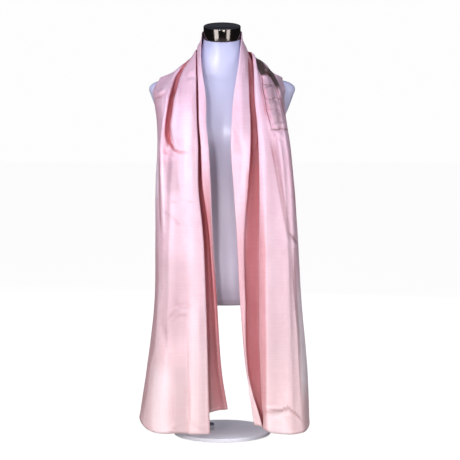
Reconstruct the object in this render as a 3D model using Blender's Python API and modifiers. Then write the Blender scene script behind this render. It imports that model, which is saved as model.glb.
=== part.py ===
"""A long satin shawl worn round the neck of a limbless dress form, both ends hanging down the front.

Metres, +Z up, the front faces -Y, and the origin is the middle of the stand's underside.
The shawl is one cloth. Every lengthwise fold line is a row of a table, and the cloth is the smooth surface
that these lines guide: up one tail, over a shoulder, round the back of the neck and down the other tail.
"""

from collections import namedtuple
from math import cos, pi, radians, sin, tan

import bmesh
import bpy
import numpy as np
from mathutils import Vector
from mathutils.bvhtree import BVHTree

MM = 0.001

# Cloth
WALL = 0.0012
SEAM_GAP = 0.0003
LEAST_CLEARANCE = WALL / 2 + 0.0004
ACROSS_SEGMENTS = 35
SOFTNESS = 0.26
LAYER_LIFT = 1.0
COLLAR_GAPE = 4.5
TAIL_STEPS = (4, 3, 3, 3, 2, 2, 3, 3, 4, 2)
NECK_STEPS = (2, 2, 3, 3, 3, 3, 3, 3, 2, 2)

# Dress form
TORSO_SIDES = 40
SHOULDER_HEIGHTS = (0.912, 0.925, 0.942)
BUST_X, BUST_Z, BUST_RISE, BUST_SPREAD = 0.070, 0.800, 0.020, 0.046
NECK_TILT = radians(13)
NECK_TILT_FROM, NECK_TOP = 0.975, 1.052
CAP_RADIUS, CAP_HEIGHT, CAP_DOME, CAP_EDGE, CAP_GAP = 0.0490, 0.032, 0.002, 0.003, 0.0003

# Stand
POLE_X, POLE_Y, POLE_RADIUS = -0.047, 0.012, 0.0105
BASE_RADIUS, BASE_HEIGHT, BASE_EDGE = 0.130, 0.010, 0.002
FLANGE_RADIUS, FLANGE_HEIGHT = 0.026, 0.012
SOCKET_RADIUS, SOCKET_HEIGHT = 0.019, 0.022
CONTACT_GAP = 0.0003

# Cross-sections of the dress form: height, half width, depth to the front and to the back of the middle plane
Ring = namedtuple("Ring", "height half_width front back")
TORSO = (
    Ring(0.350, 0.090, 0.048, 0.058),
    Ring(0.3535, 0.122, 0.070, 0.083),
    Ring(0.364, 0.146, 0.087, 0.101),
    Ring(0.386, 0.161, 0.096, 0.112),
    Ring(0.425, 0.167, 0.099, 0.117),
    Ring(0.475, 0.162, 0.096, 0.112),
    Ring(0.530, 0.147, 0.088, 0.098),
    Ring(0.590, 0.126, 0.079, 0.082),
    Ring(0.640, 0.118, 0.076, 0.076),
    Ring(0.690, 0.123, 0.080, 0.079),
    Ring(0.740, 0.135, 0.087, 0.085),
    Ring(0.785, 0.147, 0.092, 0.090),
    Ring(0.820, 0.156, 0.092, 0.092),
    Ring(0.850, 0.167, 0.087, 0.093),
    Ring(0.880, 0.179, 0.079, 0.091),
    Ring(0.905, 0.188, 0.070, 0.085),
    Ring(0.919, 0.1925, 0.064, 0.079),
    Ring(0.930, 0.188, 0.058, 0.072),
    Ring(0.9385, 0.174, 0.053, 0.065),
    Ring(0.945, 0.152, 0.050, 0.060),
    Ring(0.954, 0.127, 0.0475, 0.056),
    Ring(0.968, 0.104, 0.046, 0.053),
    Ring(0.984, 0.086, 0.045, 0.051),
    Ring(1.000, 0.072, 0.045, 0.050),
    Ring(1.020, 0.0600, 0.0455, 0.0495),
    Ring(1.038, 0.0520, 0.0465, 0.0490),
    Ring(1.052, 0.0490, 0.0485, 0.0485),
)

# Heights of the tails' cross-sections above the hem, and how far in front of the middle plane the cloth starts there
LEVEL_HEIGHTS = (0.192, 0.373, 0.553, 0.682, 0.772, 0.836, 0.888)
LEVEL_FRONTS = (0.119, 0.119, 0.119, 0.119, 0.120, 0.113, 0.096)

# Fold lines of a tail, in millimetres. gape opens a hairpin fold front to back. hem is the height of the cloth's end.
# x_... is the distance from the middle plane at each level; lift_... is how far in front of the level's start it lies.
Line = namedtuple(
    "Line",
    "name gape hem x_hem x_shin x_thigh x_hip x_waist x_rib x_bust x_chest lift_hem lift_hip lift_rib lift_chest",
)
LEFT_TAIL = (
    Line("inner_selvage", 0, 92, -15, 1, 13, 24, 29, 34, 40, 40, 30, 30, 38, 24),
    Line("inner_face", 0, 92, -11, 4, 17, 29, 40, 44, 50, 51, 32, 34, 42, 28),
    Line("inner_ridge", 0, 91, -7, 9, 21, 34, 52, 55, 60, 61, 31, 33, 38, 26),
    Line("inner_valley", 0, 88, 10, 17, 25, 34, 47, 50, 54, 56, 17, 9, 7, 5),
    Line("hidden_turn", 9, 70, 68, 80, 90, 95, 95, 94, 94, 94, 24, 24, 20, 15),
    Line("front_edge", 9, 31, 31, 36, 41, 49, 61, 61, 64, 66, 40, 42, 40, 28),
    Line("front_ridge", 0, 30, 74, 74, 76, 74, 77, 79, 77, 77, 55, 56, 52, 38),
    Line("front_dip", 0, 33, 108, 106, 102, 97, 102, 100, 98, 97, 44, 48, 46, 32),
    Line("second_ridge", 0, 32, 150, 140, 132, 130, 128, 126, 125, 120, 55, 55, 52, 40),
    Line("groove", 0, 34, 179, 161, 146, 141, 140, 134, 130, 124, 42, 44, 22, 6),
    Line("outer_ridge", 0, 40, 198, 178, 160, 155, 154, 155, 149, 141, 24, 34, 31, 26),
    Line("side_face", 0, 50, 212, 192, 173, 169, 168, 166, 163, 164, -6, 2, 2, 2),
    Line("side_turn", 16, 60, 217, 197, 176, 173, 172, 167, 169, 177, -30, -24, -28, -35),
    Line("under_turn", 8, 66, 110, 104, 100, 100, 104, 106, 108, 110, 7, 7, 4, -8),
    Line("outer_selvage", 0, 70, 154, 150, 148, 150, 152, 152, 154, 158, -27, -28, -32, -40),
)
RIGHT_TAIL = (
    Line("inner_selvage", 0, 50, 84, 63, 47, 38, 29, 23, 25, 28, 30, 38, 36, 26),
    Line("inner_face", 0, 50, 95, 65, 54, 48, 46, 44, 46, 46, 33, 41, 36, 24),
    Line("inner_ridge", 0, 47, 106, 67, 61, 59, 70, 76, 76, 73, 36, 38, 36, 22),
    Line("inner_valley", 0, 46, 108, 76, 62, 58, 66, 70, 70, 68, 17, 12, 8, 5),
    Line("hidden_turn", 9, 60, 158, 153, 150, 148, 143, 136, 124, 112, 24, 23, 19, 12),
    Line("front_edge", 9, 44, 106, 99, 96, 96, 96, 94, 90, 85, 40, 40, 36, 26),
    Line("front_ridge", 0, 34, 126, 118, 116, 112, 112, 109, 102, 95, 54, 54, 49, 34),
    Line("front_dip", 0, 31, 156, 158, 156, 152, 145, 134, 122, 112, 49, 45, 34, 18),
    Line("second_ridge", 0, 30, 178, 176, 171, 165, 157, 147, 136, 126, 54, 54, 52, 36),
    Line("groove", 0, 31, 196, 189, 181, 174, 167, 159, 149, 139, 45, 44, 42, 26),
    Line("outer_ridge", 0, 33, 214, 206, 195, 186, 180, 170, 159, 149, 37, 39, 38, 27),
    Line("side_face", 0, 40, 226, 219, 205, 194, 185, 174, 164, 156, 6, 6, 6, 2),
    Line("side_turn", 16, 48, 229, 223, 207, 196, 186, 177, 168, 163, -18, -20, -24, -34),
    Line("under_turn", 8, 62, 128, 120, 114, 110, 108, 106, 104, 104, 7, 7, 4, -8),
    Line("outer_selvage", 0, 66, 188, 184, 176, 172, 166, 162, 158, 155, -22, -25, -30, -41),
)

# Fold lines on the front slope of the shoulders, in millimetres: x and height on the form, and the lift off it
Slope = namedtuple("Slope", "name left_x left_height left_lift right_x right_height right_lift")
COLLAR = (
    Slope("inner_selvage", 46, 1003, 18, 39, 1000, 16),
    Slope("inner_face", 53, 999, 15, 49, 996, 14),
    Slope("inner_ridge", 57, 990, 14, 62, 980, 14),
    Slope("inner_valley", 61, 983, 4, 70, 972, 4),
    Slope("hidden_turn", 90, 957, 5, 96, 951, 6),
    Slope("front_edge", 62, 979, 13, 76, 967, 16),
    Slope("front_ridge", 78, 967, 18, 84, 961, 23),
    Slope("front_dip", 92, 957, 15, 99, 951, 15),
    Slope("second_ridge", 105, 950, 19, 109, 946, 21),
    Slope("groove", 110, 944, 8, 122, 939, 14),
    Slope("outer_ridge", 120, 940, 16, 133, 934, 17),
    Slope("side_face", 148, 929, 12, 146, 929, 13.5),
    Slope("side_turn", 173, 919, 8, 159, 922, 9),
    Slope("under_turn", 106, 947, 5, 106, 946, 5),
    Slope("outer_selvage", 158, 924, 1.6, 151, 926, 2),
)

# Fold lines over the shoulders and round the back, in millimetres: along the form's profile from the neck, and lift
Yoke = namedtuple("Yoke", "name gape left back right left_lift back_lift right_lift")
YOKE = (
    Yoke("inner_selvage", 0, 0, 0, 0, 2.4, 4, 1.8),
    Yoke("inner_face", 0, 21, 20, 22, 5, 9, 4),
    Yoke("inner_ridge", 0, 42, 40, 45, 9, 14, 7),
    Yoke("inner_valley", 0, 48, 52, 58, 3, 4, 3),
    Yoke("hidden_turn", 4, 86, 100, 92, 3.5, 6, 4),
    Yoke("front_edge", 3, 52, 58, 64, 7, 13, 11.5),
    Yoke("front_ridge", 0, 66, 80, 74, 9, 19, 15.5),
    Yoke("front_dip", 0, 76, 100, 84, 8.5, 12, 17),
    Yoke("second_ridge", 0, 88, 122, 96, 12, 20, 20),
    Yoke("groove", 0, 98, 144, 110, 11, 10, 21),
    Yoke("outer_ridge", 0, 110, 166, 126, 13, 18, 19.5),
    Yoke("side_face", 0, 147, 195, 150, 9, 12, 9),
    Yoke("side_turn", 3, 182, 224, 174, 5.4, 7.2, 5.4),
    Yoke("under_turn", 4, 102, 122, 102, 4.6, 5, 4.6),
    Yoke("outer_selvage", 0, 164, 190, 160, 1.0, 2.6, 1.0),
)
# Directions of the sections from the left shoulder round the back to the right one, and where the cloth starts there
YOKE_ANGLES = (180, 166, 152, 137, 121, 106, 90, 74, 59, 43, 28, 14, 0)
YOKE_TOP = 1.068


def clear_scene():
    for thing in list(bpy.data.objects):
        bpy.data.objects.remove(thing, do_unlink=True)


def finish(name, colour, roughness, metallic=0.0):
    """A plain finish for a piece."""
    finish_made = bpy.data.materials.new(name)
    finish_made.use_nodes = True
    shader = finish_made.node_tree.nodes["Principled BSDF"]
    shader.inputs["Base Color"].default_value = (*colour, 1.0)
    shader.inputs["Roughness"].default_value = roughness
    shader.inputs["Metallic"].default_value = metallic
    return finish_made


def placed(collection, name, mesh, material):
    piece = bpy.data.objects.new(name, mesh)
    collection.objects.link(piece)
    mesh.materials.append(material)
    mesh.shade_smooth()
    mesh.set_sharp_from_angle(angle=radians(40))
    return piece


def spline(values, at, where):
    """Cubic through values given at the places at, read at the places where. Values may be rows of points."""
    at = np.asarray(at, float)
    values = np.asarray(values, float)
    slopes = np.gradient(values, at, axis=0)
    cell = np.clip(np.searchsorted(at, where, side="right") - 1, 0, len(at) - 2)
    width = at[cell + 1] - at[cell]
    t = (where - at[cell]) / width
    shape = (-1,) + (1,) * (values.ndim - 1)
    t, width = t.reshape(shape), width.reshape(shape)
    start, end = values[cell], values[cell + 1]
    leave, arrive = slopes[cell] * width, slopes[cell + 1] * width
    return (
        (2 * t**3 - 3 * t**2 + 1) * start
        + (t**3 - 2 * t**2 + t) * leave
        + (3 * t**2 - 2 * t**3) * end
        + (t**3 - t**2) * arrive
    )


def section(guides, segments=ACROSS_SEGMENTS):
    """Smooth line across the cloth from the first guide to the last, with each corner rounded off."""
    guides = np.asarray(guides, float)
    before = guides[1:-1] + SOFTNESS * (guides[:-2] - guides[1:-1])
    after = guides[1:-1] + SOFTNESS * (guides[2:] - guides[1:-1])
    pull = np.stack([before, after], axis=1).reshape(-1, guides.shape[1])
    pull = np.concatenate([guides[:1], pull, guides[-1:]])
    padded = np.concatenate([2 * pull[:1] - pull[1:2], pull, 2 * pull[-1:] - pull[-2:-1]])
    at = 0.5 + np.linspace(0.0, 1.0, segments + 1) * (len(pull) - 1)
    cell = np.clip(np.floor(at).astype(int), 0, len(padded) - 3)
    t = (at - cell)[:, None]
    first, middle, last = padded[cell], padded[cell + 1], padded[cell + 2]
    return 0.5 * ((1 - t) ** 2 * first + (-2 * t**2 + 2 * t + 1) * middle + t**2 * last)


def torso_ring(height):
    """Half width, front and back depth of the form at a height."""
    table = np.array(TORSO)
    return spline(table[:, 1:], table[:, 0], np.array([height]))[0]


def torso_point(angle, height):
    """A point of the form's skin. Angle 0 is at +X and 90 degrees at the back."""
    half_width, front, back = torso_ring(height)
    depth = back if sin(angle) > 0 else front
    x = half_width * cos(angle)
    y = depth * sin(angle)
    if y < 0:
        near = ((abs(x) - BUST_X) / BUST_SPREAD) ** 2 + ((height - BUST_Z) / BUST_SPREAD) ** 2
        y -= BUST_RISE * np.exp(-near) * abs(sin(angle))
    share = np.clip((height - NECK_TILT_FROM) / (NECK_TOP - NECK_TILT_FROM), 0, 1)
    return np.array([x, y, height + y * tan(NECK_TILT) * share**2])


def torso_mesh():
    """The form as rings of points, closed below and above."""
    shape = bmesh.new()
    rings = []
    turns = [2 * pi * i / TORSO_SIDES for i in range(TORSO_SIDES)]
    for height in sorted([ring.height for ring in TORSO] + list(SHOULDER_HEIGHTS)):
        rings.append([shape.verts.new(torso_point(turn, height)) for turn in turns])
    for lower, upper in zip(rings, rings[1:]):
        for i in range(TORSO_SIDES):
            j = (i + 1) % TORSO_SIDES
            shape.faces.new((lower[i], lower[j], upper[j], upper[i]))
    shape.faces.new(rings[0][::-1])
    shape.faces.new(rings[-1])
    mesh = bpy.data.meshes.new("form_torso")
    shape.to_mesh(mesh)
    shape.free()
    return mesh


def turned(collection, name, profile, material, steps=48):
    """A solid turned round Z from a profile of radius and height that runs down its outer side."""
    mesh = bpy.data.meshes.new(name)
    points = [(radius, 0.0, height) for radius, height in profile]
    mesh.from_pydata(points, [(i, i + 1) for i in range(len(points) - 1)], [])
    piece = bpy.data.objects.new(name, mesh)
    collection.objects.link(piece)
    mesh.materials.append(material)
    screw = piece.modifiers.new("turn", "SCREW")
    screw.steps = screw.render_steps = steps
    screw.use_merge_vertices = True
    screw.merge_threshold = 0.00005
    screw.use_smooth_shade = True
    return piece


def drum(radius, low, high, edge, axis_radius=0.0):
    """Profile of a drum with its two rims eased by edge."""
    profile = [(axis_radius, high), (radius - edge, high), (radius, high - edge)]
    profile += [(radius, low + edge), (radius - edge, low), (axis_radius, low)]
    return profile


def neck_cap(collection, material):
    """Dark metal cap with a slightly domed top, square on the tilted top of the neck."""
    profile = [(0.0, CAP_HEIGHT + CAP_DOME)]
    for step in range(1, 6):
        radius = (CAP_RADIUS - CAP_EDGE) * step / 5
        profile.append((radius, CAP_HEIGHT + CAP_DOME * (1 - (radius / CAP_RADIUS) ** 2)))
    for step in range(1, 4):
        turn = pi / 2 * step / 3
        profile.append((CAP_RADIUS - CAP_EDGE * (1 - sin(turn)), CAP_HEIGHT - CAP_EDGE * (1 - cos(turn))))
    profile += [(CAP_RADIUS, 0.001), (CAP_RADIUS - 0.001, 0.0), (0.0, 0.0)]
    cap = turned(collection, "form_neck_cap", profile, material, steps=40)
    cap.rotation_euler = (NECK_TILT, 0.0, 0.0)
    cap.location = (0.0, 0.0, NECK_TOP + CAP_GAP)
    return cap


def stand(collection, torso_bottom, steel, lacquer):
    """Plain stand: base plate, flange, pole and socket, off the middle so that the left tail hangs in front of it."""
    turned(collection, "stand_base", drum(BASE_RADIUS, 0.0, BASE_HEIGHT, BASE_EDGE), lacquer, steps=48)
    flange_low = BASE_HEIGHT + CONTACT_GAP
    pole_low = flange_low + FLANGE_HEIGHT + CONTACT_GAP
    socket_high = torso_bottom - CONTACT_GAP
    socket_low = socket_high - SOCKET_HEIGHT
    pole_high = socket_low - CONTACT_GAP
    pieces = (
        ("stand_flange", FLANGE_RADIUS, flange_low, flange_low + FLANGE_HEIGHT, 0.0015),
        ("stand_pole", POLE_RADIUS, pole_low, pole_high, 0.0003),
        ("stand_socket", SOCKET_RADIUS, socket_low, socket_high, 0.001),
    )
    for name, radius, low, high, edge in pieces:
        piece = turned(collection, name, drum(radius, low, high, edge), steel, steps=24)
        piece.location = (POLE_X, POLE_Y, 0.0)


def is_pair(name):
    """Whether a fold line is a hairpin, with two guides one behind the other."""
    return name in ("hidden_turn", "front_edge", "side_turn", "under_turn")


def halves(name):
    """Which side of a fold line each of its guides lies: 1 is the outer side, -1 the side towards the form."""
    if not is_pair(name):
        return (0.0,)
    return (-0.5, 0.5) if name in ("hidden_turn", "front_edge") else (0.5, -0.5)


def tail_section(lines, level, side):
    """Section of a tail at a level above the hem. side is -1 for the left tail and 1 for the right one."""
    start = LEVEL_FRONTS[max(level - 1, 0)]
    guides = []
    for line in lines:
        lift = spline(line[11:15], (0, 3, 5, 7), np.array([float(level)]))[0] * MM
        height = line.hem * MM if level == 0 else LEVEL_HEIGHTS[level - 1]
        for half in halves(line.name):
            guides.append((line[3 + level] * MM * side, -(start + lift + half * line.gape * MM), height))
    return section(guides)


def skin_of(mesh):
    """The form's sides as a search tree, without its two flat ends."""
    sides = [tuple(face.vertices) for face in mesh.polygons if len(face.vertices) == 4]
    return BVHTree.FromPolygons([v.co[:] for v in mesh.vertices], sides)


def front_of_form(skin, x, height):
    """The form's front skin at a place."""
    return np.array(skin.ray_cast(Vector((x, -0.4, height)), Vector((0, 1, 0)))[0])


def collar_section(skin, side):
    """Section on the front slope of one shoulder."""
    guides = []
    for line in COLLAR:
        x, height, lift = line[1:4] if side < 0 else line[4:7]
        for half in halves(line.name):
            guides.append((x * side, height, LAYER_LIFT + lift + half * COLLAR_GAPE))
    points = []
    reach = 0.008
    for x, height, lift in section(guides) * MM:
        place = front_of_form(skin, x, height)
        across = front_of_form(skin, x + reach, height) - front_of_form(skin, x - reach, height)
        upward = front_of_form(skin, x, height + reach) - front_of_form(skin, x, height - reach)
        outward = np.cross(across, upward)
        points.append(place + outward / np.linalg.norm(outward) * lift)
    return np.array(points)


def yoke_profile(angle):
    """The form's outline in the upright plane at an angle round the neck, from the cloth's start downwards."""
    heights = np.concatenate([np.linspace(YOKE_TOP, 0.90, 120), np.linspace(0.898, 0.72, 60)])
    points = []
    for height in heights:
        if height > NECK_TOP:
            rim = torso_point(angle, NECK_TOP)
            points.append(rim + np.array([0, 0, height - NECK_TOP]))
        else:
            points.append(torso_point(angle, height))
    points = np.array(points)
    steps = np.linalg.norm(np.diff(points, axis=0), axis=1)
    return points, np.concatenate([[0.0], np.cumsum(steps)])


def on_profile(points, lengths, distance, angle):
    """Place and outward direction at a distance down a profile."""
    place = np.array([np.interp(distance, lengths, points[:, k]) for k in range(3)])
    ahead = np.array([np.interp(distance + 0.012, lengths, points[:, k]) for k in range(3)])
    behind = np.array([np.interp(max(distance - 0.012, 0), lengths, points[:, k]) for k in range(3)])
    run = (ahead - behind) / np.linalg.norm(ahead - behind)
    sideways = np.array([-sin(angle), cos(angle), 0.0])
    outward = np.cross(sideways, run)
    if outward @ np.array([cos(angle), sin(angle), 0.4]) < 0:
        outward = -outward
    return place, outward / np.linalg.norm(outward)


def yoke_section(degrees):
    """Section over a shoulder or the back, in the upright plane at an angle round the neck."""
    angle = radians(degrees)
    points, lengths = yoke_profile(angle)
    at = np.array([float(degrees)])
    guides = []
    for line in YOKE:
        distance = spline((line.right, line.back, line.left), (0, 90, 180), at)[0]
        lift = spline((line.right_lift, line.back_lift, line.left_lift), (0, 90, 180), at)[0]
        for half in halves(line.name):
            guides.append((distance, LAYER_LIFT + lift + half * line.gape))
    placed_points = []
    for distance, lift in section(guides) * MM:
        place, outward = on_profile(points, lengths, distance, angle)
        placed_points.append(place + outward * lift)
    return np.array(placed_points)


def cloth_net(skin):
    """Sections from the left hem over the neck to the right hem."""
    rows = [tail_section(LEFT_TAIL, level, -1) for level in range(8)]
    rows.append(collar_section(skin, -1))
    rows += [yoke_section(degrees) for degrees in YOKE_ANGLES]
    rows.append(collar_section(skin, 1))
    rows += [tail_section(RIGHT_TAIL, level, 1) for level in range(7, -1, -1)]
    return np.array(rows)


def row_places(net):
    """How far along the cloth each section lies, taken over its whole width."""
    steps = np.linalg.norm(np.diff(net, axis=0), axis=2).mean(axis=1)
    return np.concatenate([[0.0], np.cumsum(steps)])


def kept_clear(points, skin, least):
    """Points moved out so that they, and the middles of the lines between them, stay clear of the form's skin."""
    moved = points.copy()
    corner_sets = (((0, 0),), ((0, 0), (1, 0)), ((0, 0), (0, 1)), ((0, 0), (1, 1)), ((1, 0), (0, 1)))
    for _ in range(4):
        push = np.zeros_like(moved)
        for corners in corner_sets:
            deep = max(i for i, j in corners)
            wide = max(j for i, j in corners)
            for i in range(moved.shape[0] - deep):
                for j in range(moved.shape[1] - wide):
                    middle = sum(moved[i + a, j + b] for a, b in corners) / len(corners)
                    place, normal, _, distance = skin.find_nearest(Vector(middle))
                    if distance > 0.03:
                        continue
                    signed = distance if (Vector(middle) - place).dot(normal) > 0 else -distance
                    if signed >= least:
                        continue
                    step = np.array(normal) * (least - signed)
                    for a, b in corners:
                        if np.linalg.norm(push[i + a, j + b]) < least - signed:
                            push[i + a, j + b] = step
        if not push.any():
            break
        moved += push
    return moved


def cloth_mesh(name, rows, skin):
    """One stretch of the cloth from its sections, as an open sheet of quads."""
    points = kept_clear(rows, skin, LEAST_CLEARANCE)
    columns = ACROSS_SEGMENTS + 1
    faces = [
        (i * columns + j, (i + 1) * columns + j, (i + 1) * columns + j + 1, i * columns + j + 1)
        for i in range(len(rows) - 1)
        for j in range(ACROSS_SEGMENTS)
    ]
    mesh = bpy.data.meshes.new(name)
    mesh.from_pydata([tuple(p) for p in points.reshape(-1, 3)], [], faces)
    return mesh


def stations(marks, steps):
    """Places along the cloth: each stretch between two marks is cut into its number of steps."""
    places = [marks[0]]
    for start, end, count in zip(marks, marks[1:], steps):
        places += [start + (end - start) * (i + 1) / count for i in range(count)]
    return np.array(places)


def cloth_stretch(collection, name, mesh, material):
    """A sheet given its wall, half to each side."""
    piece = placed(collection, name, mesh, material)
    wall = piece.modifiers.new("wall", "SOLIDIFY")
    wall.thickness = WALL
    wall.offset = 0.0
    wall.use_rim = True
    return piece


def shawl(collection, skin, satin):
    net = cloth_net(skin)
    places = row_places(net)
    half_gap = SEAM_GAP / 2
    left_marks = list(places[:10]) + [places[10] - half_gap]
    neck_marks = [places[10] + half_gap] + list(places[11:-11]) + [places[-11] - half_gap]
    right_marks = [places[-11] + half_gap] + list(places[-10:])
    stretches = (
        ("shawl_left_tail", left_marks, TAIL_STEPS),
        ("shawl_neck_stretch", neck_marks, NECK_STEPS),
        ("shawl_right_tail", right_marks, TAIL_STEPS[::-1]),
    )
    for name, marks, steps in stretches:
        rows = spline(net, places, stations(marks, steps))
        cloth_stretch(collection, name, cloth_mesh(name, rows, skin), satin)


def main():
    clear_scene()
    collection = bpy.data.collections.new("shawl_on_dress_form")
    bpy.context.scene.collection.children.link(collection)
    satin = finish("pink_satin", (0.86, 0.58, 0.63), 0.38)
    lacquer = finish("white_lacquer", (0.80, 0.81, 0.86), 0.35)
    dark_metal = finish("dark_metal", (0.05, 0.045, 0.04), 0.15, 1.0)
    steel = finish("bright_steel", (0.75, 0.75, 0.76), 0.22, 1.0)
    torso = torso_mesh()
    placed(collection, "form_torso", torso, lacquer)
    neck_cap(collection, dark_metal)
    stand(collection, TORSO[0].height, steel, lacquer)
    shawl(collection, skin_of(torso), satin)


main()
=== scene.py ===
"""A pale pink satin shawl round the neck of a white limbless dress form, both ends hanging down the front.

Metres, +Z up, the front faces -Y. The shawl is one cloth. Tables give its fold lines, the sections across it
round them off, and a smooth surface runs through the sections from hem to hem. Creases are placed on it in
millimetres, and so is painted light and shade on the silk: a rosy shade in closed folds, dark brown shadow
and a pale highlight.
"""

from collections import namedtuple
from math import cos, pi, radians, sin, tan

import bmesh
import bpy
import numpy as np
from mathutils import Matrix, Vector
from mathutils.bvhtree import BVHTree


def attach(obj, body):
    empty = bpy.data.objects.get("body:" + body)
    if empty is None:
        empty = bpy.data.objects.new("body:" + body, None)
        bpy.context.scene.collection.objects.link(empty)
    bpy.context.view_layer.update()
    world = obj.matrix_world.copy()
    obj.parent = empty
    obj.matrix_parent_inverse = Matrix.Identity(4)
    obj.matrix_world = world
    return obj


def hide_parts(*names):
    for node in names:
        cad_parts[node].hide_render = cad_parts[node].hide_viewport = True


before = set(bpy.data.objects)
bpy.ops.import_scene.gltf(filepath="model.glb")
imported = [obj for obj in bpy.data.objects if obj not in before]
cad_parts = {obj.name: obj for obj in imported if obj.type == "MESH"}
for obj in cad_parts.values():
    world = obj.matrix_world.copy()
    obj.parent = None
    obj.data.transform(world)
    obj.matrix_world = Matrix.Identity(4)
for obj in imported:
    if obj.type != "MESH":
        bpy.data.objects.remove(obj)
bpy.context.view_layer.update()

MM = 0.001

# Camera
IMAGE_WIDTH_AT_SHAWL = 1.196
CAMERA_DISTANCE = 4.5
CAMERA_ELEVATION = radians(5.0)
CAMERA_TARGET = (0.0208, -0.10, 0.555)
SENSOR = 36.0

# Dress form
BUST_X, BUST_Z, BUST_RISE, BUST_SPREAD = 0.070, 0.800, 0.020, 0.046
NECK_TILT = radians(13)
NECK_TILT_FROM, NECK_TOP = 0.975, 1.052
CAP_RADIUS, CAP_HEIGHT, CAP_RIM, CAP_GAP = 0.0490, 0.034, 0.0024, 0.0003
# The cap's flat top: the width of its lip, of the step inside the lip, and how deep the step goes
CAP_LIP, CAP_STEP, CAP_DIP = 0.0016, 0.0012, 0.0008
FORM_SIDES, FORM_RINGS = 128, 160

# Stand
POLE_X, POLE_Y, POLE_RADIUS = -0.047, 0.012, 0.0105
BASE_RADIUS, BASE_HEIGHT = 0.130, 0.010
FLANGE_RADIUS, FLANGE_HEIGHT = 0.026, 0.012
SOCKET_RADIUS, SOCKET_HEIGHT = 0.019, 0.022
CONTACT_GAP = 0.0003
RIM_STEPS = 4

# Cloth
CLOTH_WALL, HEM_WALL, HEM_WIDTH = 0.0006, 0.0016, 0.008
# How far past the hem's width its thicker wall ends, and how wide the step down to the single cloth is
HEM_MARGIN, HEM_STEP = 0.0015, 0.002
# Stitches along the hems: their length and radius, how far apart they are, how far in from the edge and how
# far over the hem's face they lie, and how far from each end of a hem they begin
STITCH_LENGTH, STITCH_RADIUS, STITCH_PITCH = 0.0024, 0.00028, 0.0034
STITCH_INSET = HEM_WIDTH - 0.0012
STITCH_LIFT = HEM_WALL / 2 + 0.00005
STITCH_MARGIN = 0.006
# How far each of a section's inner corners is rounded off, as a share of the way to its neighbours
SOFTNESS = (
    0.30, 0.15, 0.26, 0.24, 0.24, 0.18, 0.13, 0.26, 0.30, 0.30, 0.22, 0.24, 0.24, 0.24, 0.24, 0.24, 0.24,
)
# How far every layer is lifted off the form, and how wide a hairpin fold gapes on the shoulders, in mm
LAYER_LIFT, COLLAR_GAPE = 1.0, 4.5
# Least distance from the form, how far round a point its skin is looked for, and the height above which and
# the depth behind which cloth can come near it
FORM_CLEARANCE, SKIN_SEARCH = 0.0009, 0.03
NEAR_HEIGHT, NEAR_DEPTH = 0.7, -0.1
# Waves of the cloth's unevenness: length along and across it in metres, height in millimetres, and how many
Wave = namedtuple("Wave", "along across height count")
UNEVENNESS = (
    Wave(0.42, 0.060, 0.35, 10),
    Wave(0.14, 0.035, 0.20, 14),
    Wave(0.05, 0.040, 0.10, 16),
    Wave(0.022, 0.022, 0.05, 18),
)
UNEVENNESS_SEED = 12
# The waves come in over this width of the cloth beside its edges, from this far outside them
CALM_WIDTH, CALM_MARGIN = 0.03, 0.004
# Rays that find how far cloth closes over a point: their reach, how far over it they start, and the lean and
# number of each set
SHADE_REACH, SHADE_START = 0.06, 0.0015
SHADE_RAYS = ((0.35, 5), (0.85, 8), (1.2, 6))
# Share of the painted fold shade, a dark rosy red, where no ray is free, how fast it falls as rays come
# free, and its most
FOLD_SHADE_CLOSED, FOLD_SHADE_FALL, FOLD_SHADE_MOST = 1.15, 1.5, 0.85

# Cross-sections of the dress form: height, half width, and depth in front of and behind the middle plane
Ring = namedtuple("Ring", "height half_width front back")
TORSO = (
    Ring(0.350, 0.090, 0.048, 0.058),
    Ring(0.3535, 0.122, 0.070, 0.083),
    Ring(0.364, 0.146, 0.087, 0.101),
    Ring(0.386, 0.161, 0.096, 0.112),
    Ring(0.425, 0.167, 0.099, 0.117),
    Ring(0.475, 0.162, 0.096, 0.112),
    Ring(0.530, 0.147, 0.088, 0.098),
    Ring(0.590, 0.126, 0.079, 0.082),
    Ring(0.640, 0.118, 0.076, 0.076),
    Ring(0.690, 0.123, 0.080, 0.079),
    Ring(0.740, 0.135, 0.087, 0.085),
    Ring(0.785, 0.147, 0.092, 0.090),
    Ring(0.820, 0.156, 0.092, 0.092),
    Ring(0.850, 0.167, 0.087, 0.093),
    Ring(0.880, 0.179, 0.079, 0.091),
    Ring(0.905, 0.188, 0.070, 0.085),
    Ring(0.919, 0.1925, 0.064, 0.079),
    Ring(0.930, 0.188, 0.058, 0.072),
    Ring(0.9385, 0.174, 0.053, 0.065),
    Ring(0.945, 0.152, 0.050, 0.060),
    Ring(0.954, 0.127, 0.0475, 0.056),
    Ring(0.968, 0.104, 0.046, 0.053),
    Ring(0.984, 0.086, 0.045, 0.051),
    Ring(1.000, 0.072, 0.045, 0.050),
    Ring(1.020, 0.0600, 0.0455, 0.0495),
    Ring(1.038, 0.0520, 0.0465, 0.0490),
    Ring(1.052, 0.0490, 0.0485, 0.0485),
)

# Heights of a tail's cross-sections above the hem, and how far in front of the middle plane the cloth starts
LEVEL_HEIGHTS = (0.192, 0.373, 0.553, 0.682, 0.772, 0.836, 0.888)
LEVEL_FRONTS = (0.119, 0.119, 0.119, 0.119, 0.120, 0.113, 0.096)
LEVELS = 1 + len(LEVEL_HEIGHTS)
# Levels for which the fold lines give a lift
LIFT_LEVELS = (0, 3, 5, 7)

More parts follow.
